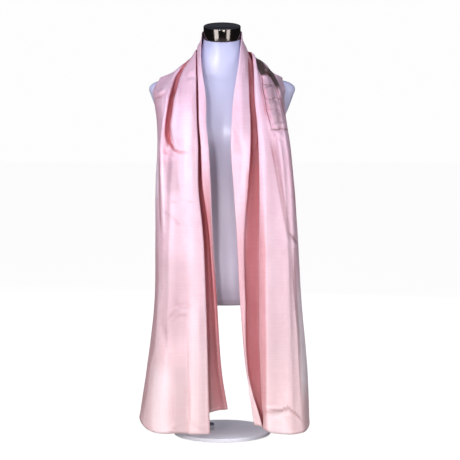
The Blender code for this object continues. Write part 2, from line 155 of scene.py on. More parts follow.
# Fold lines of a tail, in millimetres. gape opens a hairpin fold front to back, and hem is the height of the
# cloth's end. x_... is the distance from the middle plane at each level, and lift_... is how far in front of
# the level's start the line lies.
Line = namedtuple(
    "Line",
    "name gape hem x_hem x_shin x_thigh x_hip x_waist x_rib x_bust x_chest "
    "lift_hem lift_hip lift_rib lift_chest",
)
FIRST_X, FIRST_LIFT = Line._fields.index("x_hem"), Line._fields.index("lift_hem")
LEFT_TAIL = (
    Line("inner_selvage", 0, 92, -15, 1, 13, 24, 29, 34, 40, 40, 30, 30, 38, 24),
    Line("inner_face", 0, 92, -11, 4, 17, 29, 40, 44, 50, 51, 32, 34, 42, 28),
    Line("inner_ridge", 0, 91, -7, 9, 21, 34, 52, 55, 60, 61, 31, 33, 38, 26),
    Line("inner_valley", 0, 88, 10, 17, 25, 34, 47, 50, 54, 56, 17, 9, 7, 5),
    Line("hidden_turn", 9, 70, 68, 80, 90, 95, 95, 94, 94, 94, 24, 24, 20, 15),
    Line("front_edge", 9, 31, 31, 36, 41, 49, 61, 61, 64, 66, 40, 42, 40, 28),
    Line("front_ridge", 0, 30, 74, 74, 76, 74, 77, 79, 77, 77, 55, 56, 52, 38),
    Line("front_dip", 0, 33, 108, 106, 102, 97, 102, 100, 98, 97, 44, 48, 46, 32),
    Line("second_ridge", 0, 32, 150, 140, 132, 130, 128, 126, 125, 120, 55, 55, 52, 40),
    Line("groove", 0, 34, 179, 161, 146, 141, 140, 134, 130, 124, 42, 44, 22, 6),
    Line("outer_ridge", 0, 40, 198, 178, 160, 155, 154, 155, 149, 141, 24, 34, 31, 26),
    Line("side_face", 0, 50, 212, 192, 173, 169, 168, 166, 163, 164, -6, 2, 2, 2),
    Line("side_turn", 16, 60, 217, 197, 176, 173, 172, 167, 169, 177, -30, -24, -28, -35),
    Line("under_turn", 8, 66, 110, 104, 100, 100, 104, 106, 108, 110, 7, 7, 4, -8),
    Line("outer_selvage", 0, 70, 154, 150, 148, 150, 152, 152, 154, 158, -27, -28, -32, -40),
)
RIGHT_TAIL = (
    Line("inner_selvage", 0, 50, 84, 63, 47, 38, 29, 23, 25, 28, 30, 38, 36, 26),
    Line("inner_face", 0, 50, 95, 65, 54, 48, 46, 44, 46, 46, 33, 41, 36, 24),
    Line("inner_ridge", 0, 47, 106, 67, 61, 59, 70, 76, 76, 73, 36, 38, 36, 22),
    Line("inner_valley", 0, 46, 108, 76, 62, 58, 66, 70, 70, 68, 17, 12, 8, 5),
    Line("hidden_turn", 9, 60, 158, 153, 150, 148, 143, 136, 124, 112, 24, 23, 19, 12),
    Line("front_edge", 9, 44, 106, 99, 96, 96, 96, 94, 90, 85, 40, 40, 36, 26),
    Line("front_ridge", 0, 34, 126, 118, 116, 112, 112, 109, 102, 95, 54, 54, 49, 34),
    Line("front_dip", 0, 31, 156, 158, 156, 152, 145, 134, 122, 112, 49, 45, 34, 18),
    Line("second_ridge", 0, 30, 178, 176, 171, 165, 157, 147, 136, 126, 54, 54, 52, 36),
    Line("groove", 0, 31, 196, 189, 181, 174, 167, 159, 149, 139, 45, 44, 42, 26),
    Line("outer_ridge", 0, 33, 214, 206, 195, 186, 180, 170, 159, 149, 37, 39, 38, 27),
    Line("side_face", 0, 40, 226, 219, 205, 194, 185, 174, 164, 156, 6, 6, 6, 2),
    Line("side_turn", 16, 48, 229, 223, 207, 196, 186, 177, 168, 163, -18, -20, -24, -34),
    Line("under_turn", 8, 62, 128, 120, 114, 110, 108, 106, 104, 104, 7, 7, 4, -8),
    Line("outer_selvage", 0, 66, 188, 184, 176, 172, 166, 162, 158, 155, -22, -25, -30, -41),
)

# Fold lines on the front slope of the shoulders, in millimetres: x and height on the form, and lift off it
Slope = namedtuple("Slope", "name left_x left_height left_lift right_x right_height right_lift")
COLLAR = (
    Slope("inner_selvage", 46, 1003, 18, 39, 1000, 16),
    Slope("inner_face", 53, 999, 15, 49, 996, 14),
    Slope("inner_ridge", 57, 990, 14, 62, 980, 14),
    Slope("inner_valley", 61, 983, 4, 70, 972, 4),
    Slope("hidden_turn", 90, 957, 5, 96, 951, 6),
    Slope("front_edge", 62, 979, 13, 76, 967, 16),
    Slope("front_ridge", 78, 967, 18, 84, 961, 23),
    Slope("front_dip", 92, 957, 15, 99, 951, 15),
    Slope("second_ridge", 105, 950, 19, 109, 946, 21),
    Slope("groove", 110, 944, 8, 122, 939, 14),
    Slope("outer_ridge", 120, 940, 16, 133, 934, 17),
    Slope("side_face", 148, 929, 12, 146, 929, 13.5),
    Slope("side_turn", 173, 919, 8, 159, 922, 9),
    Slope("under_turn", 106, 947, 5, 106, 946, 5),
    Slope("outer_selvage", 158, 924, 1.6, 151, 926, 2),
)

# Fold lines over the shoulders and round the back, in millimetres: how far down the form's profile from the
# cloth's start at the neck, and lift off it
Yoke = namedtuple("Yoke", "name gape left back right left_lift back_lift right_lift")
YOKE = (
    Yoke("inner_selvage", 0, 0, 0, 0, 2.4, 4, 1.8),
    Yoke("inner_face", 0, 21, 20, 22, 5, 9, 4),
    Yoke("inner_ridge", 0, 42, 40, 45, 9, 14, 7),
    Yoke("inner_valley", 0, 48, 52, 58, 3, 4, 3),
    Yoke("hidden_turn", 4, 86, 100, 92, 3.5, 6, 4),
    Yoke("front_edge", 3, 52, 58, 64, 7, 13, 11.5),
    Yoke("front_ridge", 0, 66, 80, 74, 9, 19, 15.5),
    Yoke("front_dip", 0, 76, 100, 84, 8.5, 12, 17),
    Yoke("second_ridge", 0, 88, 122, 96, 12, 20, 20),
    Yoke("groove", 0, 98, 144, 110, 11, 10, 21),
    Yoke("outer_ridge", 0, 110, 166, 126, 13, 18, 19.5),
    Yoke("side_face", 0, 147, 195, 150, 9, 12, 9),
    Yoke("side_turn", 3, 182, 224, 174, 5.4, 7.2, 5.4),
    Yoke("under_turn", 4, 102, 122, 102, 4.6, 5, 4.6),
    Yoke("outer_selvage", 0, 164, 190, 160, 1.0, 2.6, 1.0),
)
# Directions of the sections from the left shoulder round the back to the right one, the three for which the
# fold lines are given (right, back and left), and the height of the cloth's start at the neck
YOKE_ANGLES = (180, 166, 152, 137, 121, 106, 90, 74, 59, 43, 28, 14, 0)
YOKE_KNOWN = (0, 90, 180)
YOKE_TOP = 1.068
# Heights at which the form's profile is taken
PROFILE_HEIGHTS = np.concatenate([np.linspace(YOKE_TOP, 0.90, 120), np.linspace(0.898, 0.72, 60)])
# How far to each side the form's slope is taken, in front and on a profile
SLOPE_REACH, PROFILE_REACH = 0.008, 0.012
# A depth in front of the whole object, and the upward part of a direction that points off the form
IN_FRONT, UPWARD = -0.4, 0.4

# Rows of the mesh between a tail's levels and on to the shoulder's top, and between two sections of the yoke
TAIL_ROWS = (26, 29, 29, 24, 28, 25, 23, 30, 20)
YOKE_ROWS = 9
ROWS = TAIL_ROWS + (YOKE_ROWS,) * (len(YOKE_ANGLES) - 1) + TAIL_ROWS[::-1]
# Columns of the mesh from each guide line across the cloth to the next, where a hairpin fold has two guides
COLUMNS = (6, 10, 9, 12, 4, 7, 5, 11, 16, 16, 14, 14, 13, 10, 4, 7, 4, 7)
# The net's sections at which the cloth's three stretches meet, behind the tops of the shoulders
MEETING = (10, 20)
# Row and guide of a place on the left tail's front panel
PANEL_ROW, PANEL_GUIDE = 60, 9

# How a crease and a painted tone of light or shade fall off. A higher shape has a flatter middle and sharper
# edges across the line, fading is the share of its length over which each end fades, and easing is the depth
# over which it comes in from the top of the shoulder.
Falloff = namedtuple("Falloff", "shape fading easing")
CREASE_FALLOFF = Falloff(2, 0.3, 0.06)
TONE_FALLOFF = Falloff(7, 0.2, 0.022)
END_STRENGTH = 0.1
# Depths at which lines of the front end and lines of the back begin, and how far past the middle one may act
FRONT_ENDS, BACK_BEGINS, PAST_MIDDLE = 0.018, 0.02, 0.018

# The groove that hooks in under the left panel's overhanging edge. A crease and a painted shade use it.
HOOKED_GROOVE = (
    (-68, 1023), (-90, 992), (-105, 972), (-113, 953), (-119, 927), (-126, 898), (-131, 867),
    (-136, 836), (-137, 807), (-133, 784), (-122, 767), (-107, 761), (-88, 760),
)

# Creases in millimetres: the line they follow in the front view as x and height, how wide on its left and on
# its right for one who walks along it, how high (minus is pressed in), and the guide lines they lie between
Crease = namedtuple("Crease", "path left right height first last")
CREASES = (
    # Left panel's hooked groove, and the ridges and wrinkles beside it
    Crease(HOOKED_GROOVE, 2.5, 6, -14, 8, 14),
    Crease(((-86, 985), (-97, 970), (-104, 950), (-110, 925), (-119, 893), (-123, 860), (-127, 825),
            (-124, 798), (-115, 780), (-98, 773)), 6, 3, 3.5, 8, 13),
    Crease(((-91, 997), (-107, 985), (-115, 974), (-129, 949), (-134, 929), (-142, 903), (-145, 867),
            (-149, 838), (-153, 812), (-155, 786), (-155, 747), (-156, 695), (-154, 641),
            (-152, 615)), 5, 3, 3.5, 9, 15),
    Crease(((-150, 768), (-142, 760), (-132, 756), (-118, 754)), 2.5, 4, -3.5, 8, 14),
    Crease(((-152, 755), (-140, 748), (-124, 744), (-106, 746)), 5, 7, 2.5, 8, 14),
    # Left shoulder
    Crease(((-145, 911), (-157, 901), (-171, 896)), 2.5, 6, -4.5, 11, 15),
    Crease(((-146, 921), (-158, 912), (-172, 905)), 5, 5, 2.5, 11, 15),
    Crease(((-166, 944), (-172, 925), (-175, 900)), 4, 4, 2, 12, 15),
    Crease(((-91, 963), (-78, 966), (-66, 963)), 3, 4, 2, 7, 10),
    Crease(((-92, 950), (-78, 954), (-66, 951)), 3, 4, -2.4, 7, 10),
    Crease(((-93, 936), (-80, 941), (-66, 939)), 4, 4, 1.6, 7, 10),
    Crease(((-68, 905), (-76, 885), (-92, 870), (-104, 862)), 5, 8, -1.6, 7, 11),
    # Left panel
    Crease(((-130, 634), (-112, 632), (-92, 633), (-75, 631)), 3, 4, -1.3, 7, 12),
    Crease(((-133, 607), (-124, 590), (-112, 571)), 5, 8, 1.8, 7, 12),
    Crease(((-117, 373), (-104, 366), (-90, 368), (-75, 360)), 3, 5, -3, 7, 12),
    Crease(((-121, 356), (-106, 349), (-84, 349)), 4, 4, 2.6, 7, 12),
    Crease(((-135, 342), (-120, 333), (-101, 336)), 4, 5, -2, 7, 12),
    Crease(((-161, 334), (-152, 300), (-141, 268), (-130, 243)), 12, 12, -2, 7, 13),
    Crease(((-91, 330), (-90, 217), (-90, 113), (-91, 20)), 4, 12, -2.6, 7, 12),
    Crease(((-125, 260), (-126, 139), (-125, 20)), 5, 14, -2.2, 8, 13),
    Crease(((-61, 290), (-60, 165), (-57, 20)), 4, 10, -2, 7, 10),
    Crease(((-91, 20), (-90, 44), (-93, 70)), 3, 3, -3, 7, 12),
    # Folded corner and the wrinkles at the left hem
    Crease(((-84, 62), (-70, 46), (-54, 38), (-36, 35)), 3, 3, -3, 6, 10),
    Crease(((-72, 62), (-54, 52), (-38, 47)), 2.5, 3, 2.5, 6, 10),
    Crease(((-150, 38), (-132, 44), (-112, 58)), 3, 3, 2.5, 8, 12),
    # Recess behind the top of the crumpled panel on the right, and the thin ridge beyond it
    Crease(((75, 1023), (104, 985), (122, 966), (140, 940)), 8, 7, -13, 8, 13),
    Crease(((114, 984), (127, 966), (138, 942), (143, 929), (151, 901), (159, 875)), 4, 3, 5, 10, 15),
    # Crumpled panel: its two sides, its swell and its wrinkles
    Crease(((87, 1001), (94, 982), (101, 962), (105, 945), (106, 922), (111, 896), (115, 867), (123, 836),
            (130, 818)), 3, 5, -5, 8, 13),
    Crease(((125, 952), (135, 936), (142, 916), (148, 896), (156, 867), (166, 841)), 5, 2.5, -4.5, 10, 15),
    Crease(((116, 950), (124, 906), (132, 872), (143, 830)), 9, 9, 3.5, 9, 14),
    Crease(((102, 944), (107, 953), (117, 957), (127, 953), (135, 941)), 4, 3, 4, 9, 13),
    Crease(((109, 933), (119, 929), (130, 932), (138, 928)), 2.5, 3, -3.5, 9, 14),
    Crease(((108, 922), (118, 918), (130, 922), (141, 917)), 4, 3, 2.4, 9, 14),
    Crease(((110, 896), (122, 892), (134, 895), (147, 890)), 2.5, 3, -4, 9, 14),
    Crease(((111, 884), (126, 878), (138, 880), (150, 875)), 4, 3, 2.6, 9, 14),
    Crease(((113, 867), (128, 862), (144, 865), (155, 860)), 3, 4, -2.8, 9, 14),
    Crease(((118, 853), (132, 849), (146, 852), (158, 846)), 4, 3, 2.2, 9, 14),
    Crease(((124, 839), (138, 837), (152, 840), (162, 835)), 3, 3, -2.4, 9, 14),
    Crease(((130, 818), (142, 816), (151, 820), (168, 815)), 2.5, 5, -6, 8, 14),
    Crease(((128, 830), (142, 828), (152, 831), (166, 827)), 4, 3, 3.5, 8, 14),
    Crease(((133, 807), (143, 810), (156, 802)), 3, 4, 2.4, 9, 14),
    Crease(((131, 794), (144, 798), (159, 789)), 3, 4, -2.4, 9, 14),
    # Right panel, its soft grooves and the crumple at its edge
    Crease(((124, 815), (133, 760), (143, 703), (152, 654), (162, 597), (172, 545)), 9, 5, -3.5, 8, 14),
    Crease(((127, 781), (135, 750), (146, 711)), 5, 4, -1.8, 8, 13),
    Crease(((170, 560), (182, 547), (195, 528)), 3, 4, -3.4, 10, 15),
    Crease(((176, 529), (186, 519), (196, 511)), 3, 3, 2.8, 10, 15),
    Crease(((156, 547), (169, 534), (179, 519)), 4, 4, 2, 10, 14),
    Crease(((179, 521), (183, 477), (187, 425), (192, 373), (199, 295), (203, 217),
            (208, 113)), 9, 3, -4, 11, 15),
    # The fold across the right tail's end
    Crease(((109, 97), (128, 94), (151, 95), (169, 105)), 5, 4, 3, 7, 13),
    Crease(((109, 84), (130, 83), (152, 84), (172, 92), (190, 76), (214, 58)), 4, 6, -4, 7, 14),
    Crease(((112, 112), (124, 105), (138, 109), (150, 103)), 3, 4, -2.4, 7, 13),
    Crease(((172, 98), (186, 86), (216, 62)), 5, 4, 3, 9, 14),
    # Inner strips: the lens on the edge, the small fold in the gap and the twist low down
    Crease(((30, 825), (36, 815), (43, 799), (42, 779)), 5, 5, -3, 0, 2),
    Crease(((84, 825), (90, 805), (88, 784), (83, 766)), 4, 4, 4, 3, 5),
    Crease(((66, 200), (72, 152), (90, 116), (104, 80), (109, 42)), 4, 4, -3, 0, 8),
)

# Creases in the stretch that lies over the back, as x and height seen from the front
BACK_CREASES = (
    Crease(((-128, 948), (-80, 915), (-20, 893), (50, 900), (112, 938)), 8, 9, 4, 11, 14),
    Crease(((-118, 930), (-70, 899), (-10, 879), (48, 886)), 7, 8, -2.4, 11, 14),
    Crease(((-105, 968), (-60, 938), (0, 920), (55, 931), (96, 964)), 9, 8, -3, 10, 13),
    Crease(((-86, 978), (-30, 952), (30, 948), (80, 976)), 6, 8, 4, 9, 12),
    Crease(((10, 975), (44, 972), (74, 992)), 5, 6, -2.6, 8, 11),
    Crease(((-72, 996), (-40, 986), (4, 992)), 5, 6, 3, 7, 10),
    Crease(((-40, 1052), (-10, 1046), (34, 1056)), 5, 5, 2.2, 0, 3),
)

# Painted light and shade on the silk, in millimetres: line and widths as for a crease, how far the colour
# goes to the deep rosy red of painted fold shade, to the dark brown of painted shadow and to the pale
# painted highlight, and the guide lines they lie between
PaintedTone = namedtuple("PaintedTone", "path left right rose ash pale first last")
PAINTED_TONES = (
    # Left: the groove, the shoulder, and the strips beside the groove
    PaintedTone(HOOKED_GROOVE, 2.5, 5, 0.90, 0.50, 0, 8, 14),
    PaintedTone(((-166, 935), (-169, 906), (-169, 867), (-165, 815), (-164, 768)), 15, 10, 0.08, 0.22, 0, 11, 16),
    PaintedTone(((-145, 910), (-157, 901), (-174, 894)), 1.5, 3, 0.2, 0.35, 0, 11, 15),
    PaintedTone(((-153, 929), (-148, 922), (-151, 914)), 4, 4, 0, 0, 0.3, 11, 14),
    PaintedTone(((-168, 737), (-169, 685), (-170, 633)), 6, 10, 0, 0, 0.55, 12, 15),
    PaintedTone(((-160, 763), (-160, 685), (-159, 620), (-155, 550)), 2, 3, 0.22, 0.40, 0, 10, 14),
    PaintedTone(((-133, 747), (-130, 711), (-125, 675), (-120, 649)), 17, 18, 0.0, 0.26, 0, 8, 13),
    PaintedTone(((-83, 893), (-83, 815), (-81, 724), (-81, 659)), 14, 16, 0, 0, 0.30, 7, 11),
    PaintedTone(((-70, 945), (-73, 867), (-73, 763), (-70, 659)), 4, 5, 0.12, 0.08, 0, 6, 10),
    PaintedTone(((-152, 755), (-152, 685), (-150, 620), (-147, 542)), 2.5, 2.5, 0, 0, 0.60, 9, 14),
    PaintedTone(((-78, 781), (-81, 747), (-83, 714)), 6, 6, 0.10, 0, 0, 7, 10),
    PaintedTone(((-135, 633), (-104, 632), (-70, 633)), 1.2, 1.6, 0.05, 0.22, 0, 7, 13),
    PaintedTone(((-156, 610), (-130, 597), (-104, 568)), 5, 4, 0.03, 0.12, 0, 7, 13),
    PaintedTone(((-143, 329), (-120, 355), (-94, 363), (-70, 365)), 3, 4, 0.03, 0.14, 0, 7, 13),
    PaintedTone(((-135, 316), (-114, 339), (-83, 347)), 3, 4, 0.03, 0.10, 0, 7, 13),
    # Left: the outer strip, the bands of the lower panel and the back layer
    PaintedTone(((-29, 321), (-16, 217), (-8, 113), (0, -4)), 30, 30, 0.0, 0.30, 0, 0, 5),
    PaintedTone(((-172, 594), (-172, 529), (-172, 425), (-177, 321), (-182, 256), (-195, 204), (-203, 139),
          (-213, 74), (-218, 9)), 9, 16, 0.20, 0.26, 0, 11, 17),
    PaintedTone(((-120, 516), (-117, 399), (-122, 295), (-127, 253)), 34, 34, 0.03, 0.21, 0, 7, 13),
    PaintedTone(((-146, 316), (-142, 282), (-143, 248)), 4, 4, 0.0, 0.13, 0, 8, 13),
    PaintedTone(((-104, 238), (-105, 152), (-107, 87), (-107, -17)), 18, 20, 0.02, 0.22, 0, 7, 13),
    PaintedTone(((-153, 217), (-157, 152), (-161, 74), (-161, 9)), 24, 22, 0, 0, 0.36, 8, 14),
    PaintedTone(((-70, 399), (-69, 269), (-70, 139), (-73, 9)), 10, 10, 0, 0, 0.25, 7, 10),
    PaintedTone(((-84, 191), (-83, 113), (-83, 48)), 1.6, 1.6, 0.20, 0, 0, 7, 10),
    PaintedTone(((-51, 399), (-51, 269), (-51, 139), (-49, 9)), 8, 9, 0.0, 0.14, 0, 6, 10),
    PaintedTone(((-36, 503), (-36, 347), (-34, 191), (-32, 9)), 4, 4, 0.22, 0.14, 0, 5, 8),
    PaintedTone(((-44, 724), (-43, 633), (-39, 542), (-34, 477), (-29, 399), (-26, 321), (-21, 243),
          (-13, 165), (0, 9)), 14, 14, 0.72, 0.30, 0, 0, 5),
    PaintedTone(((-34, 451), (-26, 347), (-21, 243), (-10, 152), (3, 9)), 30, 30, 0.30, 0.46, 0, 0, 5),
    PaintedTone(((-26, 477), (-19, 446), (-14, 363), (-9, 264), (-2, 196), (3, 155), (8, 121),
          (18, 74)), 2.5, 5, 0.75, 0.1, 0, 0, 3),
    PaintedTone(((-44, 88), (-16, 89), (26, 90)), 3, 4, 0, 0, 0.9, 0, 5),
    # Right: the neck's turned triangle, the bands of the inner strip and the gap beside it
    PaintedTone(((55, 1075), (62, 1036), (68, 997), (70, 945)), 8, 9, 0.08, 0.30, 0, 1, 3),
    PaintedTone(((64, 990), (65, 893), (67, 780)), 10, 14, 0.0, 0.28, 0, 1, 3),
    PaintedTone(((35, 836), (39, 802), (42, 750)), 8, 9, 0.16, 0.05, 0, 0, 2),
    PaintedTone(((39, 1023), (38, 945), (35, 880)), 9, 9, 0, 0, 0.30, 0, 2),
    PaintedTone(((55, 810), (60, 750), (53, 659)), 7, 7, 0, 0, 0.3, 0, 3),
    PaintedTone(((66, 724), (65, 659), (62, 594)), 4, 5, 0.35, 0.0, 0, 1, 3),
    PaintedTone(((49, 620), (51, 477), (55, 373), (56, 269), (62, 152)), 16, 16, 0.32, 0.0, 0, 0, 3),
    PaintedTone(((70, 1002), (72, 955), (75, 919), (81, 867), (86, 763), (83, 633), (78, 503), (78, 321),
          (83, 165), (94, 9)), 18, 18, 0.80, 0.26, 0, 2, 5),
    PaintedTone(((75, 924), (81, 867), (86, 763), (88, 690)), 12, 12, 0.3, 0.45, 0, 2, 5),
    PaintedTone(((65, 503), (65, 412), (68, 308), (73, 243)), 7, 7, 0.0, 0.35, 0, 2, 5),
    PaintedTone(((65, 1002), (68, 981), (70, 955), (75, 924)), 5, 5, 0.80, 0.55, 0, 2, 4),
    # Right: the main panel's turned rim and its bright edge
    PaintedTone(((96, 646), (101, 597), (105, 503), (105, 373), (107, 243), (107, 113),
          (112, -4)), 8, 9, 0.58, 0.05, 0, 6, 9),
    PaintedTone(((83, 981), (88, 932), (95, 880)), 6, 6, 0, 0, 0.35, 6, 9),
    PaintedTone(((104, 906), (114, 828), (125, 685), (140, 529), (151, 373), (153, 217),
          (153, 118)), 42, 38, 0.0, 0.18, 0, 8, 14),
    PaintedTone(((120, 87), (138, 48), (151, 9)), 34, 20, 0, 0, 0.4, 6, 12),
    # Right: the recess, the crumpled panel and the strip beyond it
    PaintedTone(((90, 992), (98, 974), (105, 961), (112, 961), (120, 963), (130, 953), (140, 935),
          (148, 916)), 6, 6, 0.0, 1.0, 0, 8, 14),
    PaintedTone(((49, 1046), (79, 1013), (92, 997), (101, 983), (110, 970),
          (125, 955)), 11, 12, 0.0, 1.0, 0, 8, 14),
    PaintedTone(((114, 981), (130, 961), (138, 945), (148, 919)), 5, 5, 0.0, 0.95, 0, 9, 15),
    PaintedTone(((118, 955), (124, 924), (133, 883), (143, 846), (151, 815)), 16, 12, 0.04, 0.50, 0, 9, 14),
    PaintedTone(((146, 971), (153, 924), (164, 862)), 10, 6, 0.0, 0.45, 0, 12, 16),
    PaintedTone(((96, 976), (105, 945), (106, 922), (111, 896), (115, 867), (123, 836),
          (131, 805)), 1.4, 2.0, 0.1, 0.80, 0, 8, 13),
    PaintedTone(((135, 955), (144, 919), (151, 893), (159, 864), (172, 820)), 2, 2, 0.30, 0.50, 0, 10, 16),
    PaintedTone(((101, 933), (120, 931), (140, 929)), 1.3, 1.6, 0.1, 0.65, 0, 9, 14),
    PaintedTone(((104, 897), (125, 894), (135, 898), (156, 893)), 1.3, 1.6, 0.1, 0.70, 0, 9, 14),
    PaintedTone(((112, 867), (130, 870), (153, 864)), 1.3, 1.8, 0.08, 0.30, 0, 9, 14),
    PaintedTone(((120, 818), (142, 817), (151, 820), (179, 815)), 1.5, 2.4, 0.2, 0.70, 0, 9, 16),
    # Right: the soft groove, the crumple at the edge, the outer strip and the fold across the end
    PaintedTone(((122, 820), (133, 760), (143, 703), (152, 654), (162, 597),
          (172, 539)), 7, 6, 0.14, 0.34, 0, 8, 14),
    PaintedTone(((172, 555), (182, 539), (196, 521)), 2.5, 3, 0.20, 0.40, 0, 10, 15),
    PaintedTone(((164, 872), (172, 812), (181, 734), (187, 667), (192, 591)), 2.5, 3, 0.50, 0.30, 0, 12, 16),
    PaintedTone(((185, 529), (187, 472), (192, 373), (200, 282), (205, 191)), 2, 3, 0.10, 0.30, 0, 10, 14),
    PaintedTone(((205, 438), (208, 373), (211, 269), (218, 113)), 10, 12, 0.03, 0.0, 0.80, 11, 16),
    PaintedTone(((109, 95), (130, 94), (151, 94), (169, 104), (192, 84), (214, 58)), 2, 4, 0.20, 0.35, 0, 7, 14),
)

# Floor, and how brightly it and the backdrop show in the picture
FLOOR_SIZE, FLOOR_HEIGHT = 30, -0.0005
FLOOR_GLOW, BACKDROP_GLOW = 0.955, 0.985
# The room's light on the object, from straight below at 0 to straight above at 1
ROOM = (
    (0.0, (0.50, 0.43, 0.43, 1.0)),
    (0.20, (0.34, 0.29, 0.30, 1.0)),
    (0.28, (0.04, 0.035, 0.04, 1.0)),
    (0.5, (0.03, 0.03, 0.035, 1.0)),
    (0.62, (0.05, 0.05, 0.07, 1.0)),
    (1.0, (0.18, 0.19, 0.26, 1.0)),
)

# Lamps: place, aim, size in metres, watts and colour
Lamp = namedtuple("Lamp", "name place aim width height watts colour")
LAMPS = (
    Lamp("left softbox", (-1.32, -1.75, 0.92), (0.0, -0.1, 0.80), 1.05, 2.3, 31, (0.96, 0.94, 1.0)),
    Lamp("right softbox", (1.42, -1.70, 0.92), (0.0, -0.1, 0.80), 0.85, 2.3, 21, (0.97, 0.94, 1.0)),
    Lamp("front light", (-1.3, -5.0, 1.3), (0.0, -0.1, 0.6), 0.8, 0.8, 98, (0.98, 0.95, 1.0)),
    Lamp("low fill", (0.9, -5.0, 0.3), (0.0, -0.1, 0.6), 1.0, 1.0, 34, (0.97, 0.96, 1.0)),
    Lamp("back fill", (0.6, 2.6, 1.4), (0.0, 0.0, 0.6), 1.8, 1.6, 40, (0.98, 0.96, 1.0)),
    Lamp("top light", (0.0, -0.6, 3.0), (0.0, -0.1, 0.8), 1.2, 0.8, 9, (0.86, 0.90, 1.0)),
)


def spline(values, at, where):
    """Cubic through values given at the places at, read at the places where. A value may be a row."""
    at = np.asarray(at, float)
    values = np.asarray(values, float)
    slopes = np.gradient(values, at, axis=0)
    cell = np.clip(np.searchsorted(at, where, side="right") - 1, 0, len(at) - 2)
    width = at[cell + 1] - at[cell]
    t = (where - at[cell]) / width
    shape = (-1,) + (1,) * (values.ndim - 1)
    t, width = t.reshape(shape), width.reshape(shape)
    start, end = values[cell], values[cell + 1]
    leave, arrive = slopes[cell] * width, slopes[cell + 1] * width
    return (
        (2 * t**3 - 3 * t**2 + 1) * start
        + (t**3 - 2 * t**2 + t) * leave
        + (3 * t**2 - 2 * t**3) * end
        + (t**3 - t**2) * arrive
    )


def run_along(line):
    """How far along a line each of its points lies."""
    return np.concatenate([[0.0], np.cumsum(np.linalg.norm(np.diff(line, axis=0), axis=1))])


def read_line(line, run, at):
    """Places on a line, at distances along it."""
    return np.stack([np.interp(at, run, line[:, k]) for k in range(3)], axis=-1)


def spans(grid, axis):
    """How far each row or column of a grid lies from the first, taken over its whole width or length."""
    steps = np.linalg.norm(np.diff(grid, axis=axis), axis=2).mean(axis=1 - axis)
    return np.concatenate([[0.0], np.cumsum(steps)])


def from_first_column(grid):
    """How far each point of a grid lies from the first one in its row, measured on the cloth."""
    steps = np.linalg.norm(np.diff(grid, axis=1), axis=2)
    return np.concatenate([np.zeros((len(grid), 1)), np.cumsum(steps, axis=1)], axis=1)


def grid_faces(rows, columns):
    """The corners of each face of a grid of points."""
    index = np.arange(rows * columns).reshape(rows, columns)
    corners = [index[:-1, :-1], index[:-1, 1:], index[1:, 1:], index[1:, :-1]]
    return np.stack(corners, axis=2).reshape(-1, 4).tolist()


def guide_places():
    """Where the mesh's columns read a section: COLUMNS steps from each guide to the next."""
    places = [0.0]
    far_end = 2.0 * len(SOFTNESS) + 1
    for guide, count in enumerate(COLUMNS):
        start = 0.0 if guide == 0 else 2.0 * guide - 0.5
        end = far_end if guide == len(COLUMNS) - 1 else 2.0 * guide + 1.5
        places += [start + (end - start) * (i + 1) / count for i in range(count)]
    return np.array(places)


PLACES = guide_places()
GUIDE_COLUMN = np.concatenate([[0], np.cumsum(COLUMNS)])


def section(guides):
    """Smooth line across the cloth from the first guide to the last, with each corner rounded off."""
    guides = np.asarray(guides, float)
    soft = np.array(SOFTNESS)[:, None]
    before = guides[1:-1] + soft * (guides[:-2] - guides[1:-1])
    after = guides[1:-1] + soft * (guides[2:] - guides[1:-1])
    pull = np.stack([before, after], axis=1).reshape(-1, guides.shape[1])
    pull = np.concatenate([guides[:1], pull, guides[-1:]])
    padded = np.concatenate([2 * pull[:1] - pull[1:2], pull, 2 * pull[-1:] - pull[-2:-1]])
    at = 0.5 + PLACES
    cell = np.clip(np.floor(at).astype(int), 0, len(padded) - 3)
    t = (at - cell)[:, None]
    first, middle, last = padded[cell], padded[cell + 1], padded[cell + 2]
    return 0.5 * ((1 - t) ** 2 * first + (-2 * t**2 + 2 * t + 1) * middle + t**2 * last)


def torso_ring(height):
    """Half width, front and back depth of the form at a height."""
    table = np.array(TORSO)
    return spline(table[:, 1:], table[:, 0], np.array([height]))[0]


def torso_point(angle, height):
    """A point of the form's skin. Angle 0 is at +X and 90 degrees at the back."""
    half_width, front, back = torso_ring(height)
    depth = back if sin(angle) > 0 else front
    x = half_width * cos(angle)
    y = depth * sin(angle)
    if y < 0:
        near = ((abs(x) - BUST_X) / BUST_SPREAD) ** 2 + ((height - BUST_Z) / BUST_SPREAD) ** 2
        y -= BUST_RISE * np.exp(-near) * abs(sin(angle))
    share = np.clip((height - NECK_TILT_FROM) / (NECK_TOP - NECK_TILT_FROM), 0, 1)
    return np.array([x, y, height + y * tan(NECK_TILT) * share**2])


def halves(name):
    """Where a fold line's guides lie across its gape, plus away from the form. A hairpin fold has two."""
    if name in ("hidden_turn", "front_edge"):
        return (-0.5, 0.5)
    if name in ("side_turn", "under_turn"):
        return (0.5, -0.5)
    return (0.0,)


def tail_section(lines, level, side):
    """Section of a tail at a level above the hem. side is -1 for the left tail and 1 for the right one."""
    start = LEVEL_FRONTS[max(level - 1, 0)]
    guides = []
    for line in lines:
        x = line[FIRST_X + level] * MM * side
        lift = spline(line[FIRST_LIFT:], LIFT_LEVELS, np.array([float(level)]))[0] * MM
        height = line.hem * MM if level == 0 else LEVEL_HEIGHTS[level - 1]
        for half in halves(line.name):
            guides.append((x, -(start + lift + half * line.gape * MM), height))
    return section(guides)


def skin_of(mesh):
    """The form's sides as a search tree, without its two flat ends."""
    sides = [tuple(face.vertices) for face in mesh.polygons if len(face.vertices) == 4]
    return BVHTree.FromPolygons([v.co[:] for v in mesh.vertices], sides)


def front_of_form(skin, x, height):
    """A point of the form's skin, from straight in front."""
    return np.array(skin.ray_cast(Vector((x, IN_FRONT, height)), Vector((0, 1, 0)))[0])


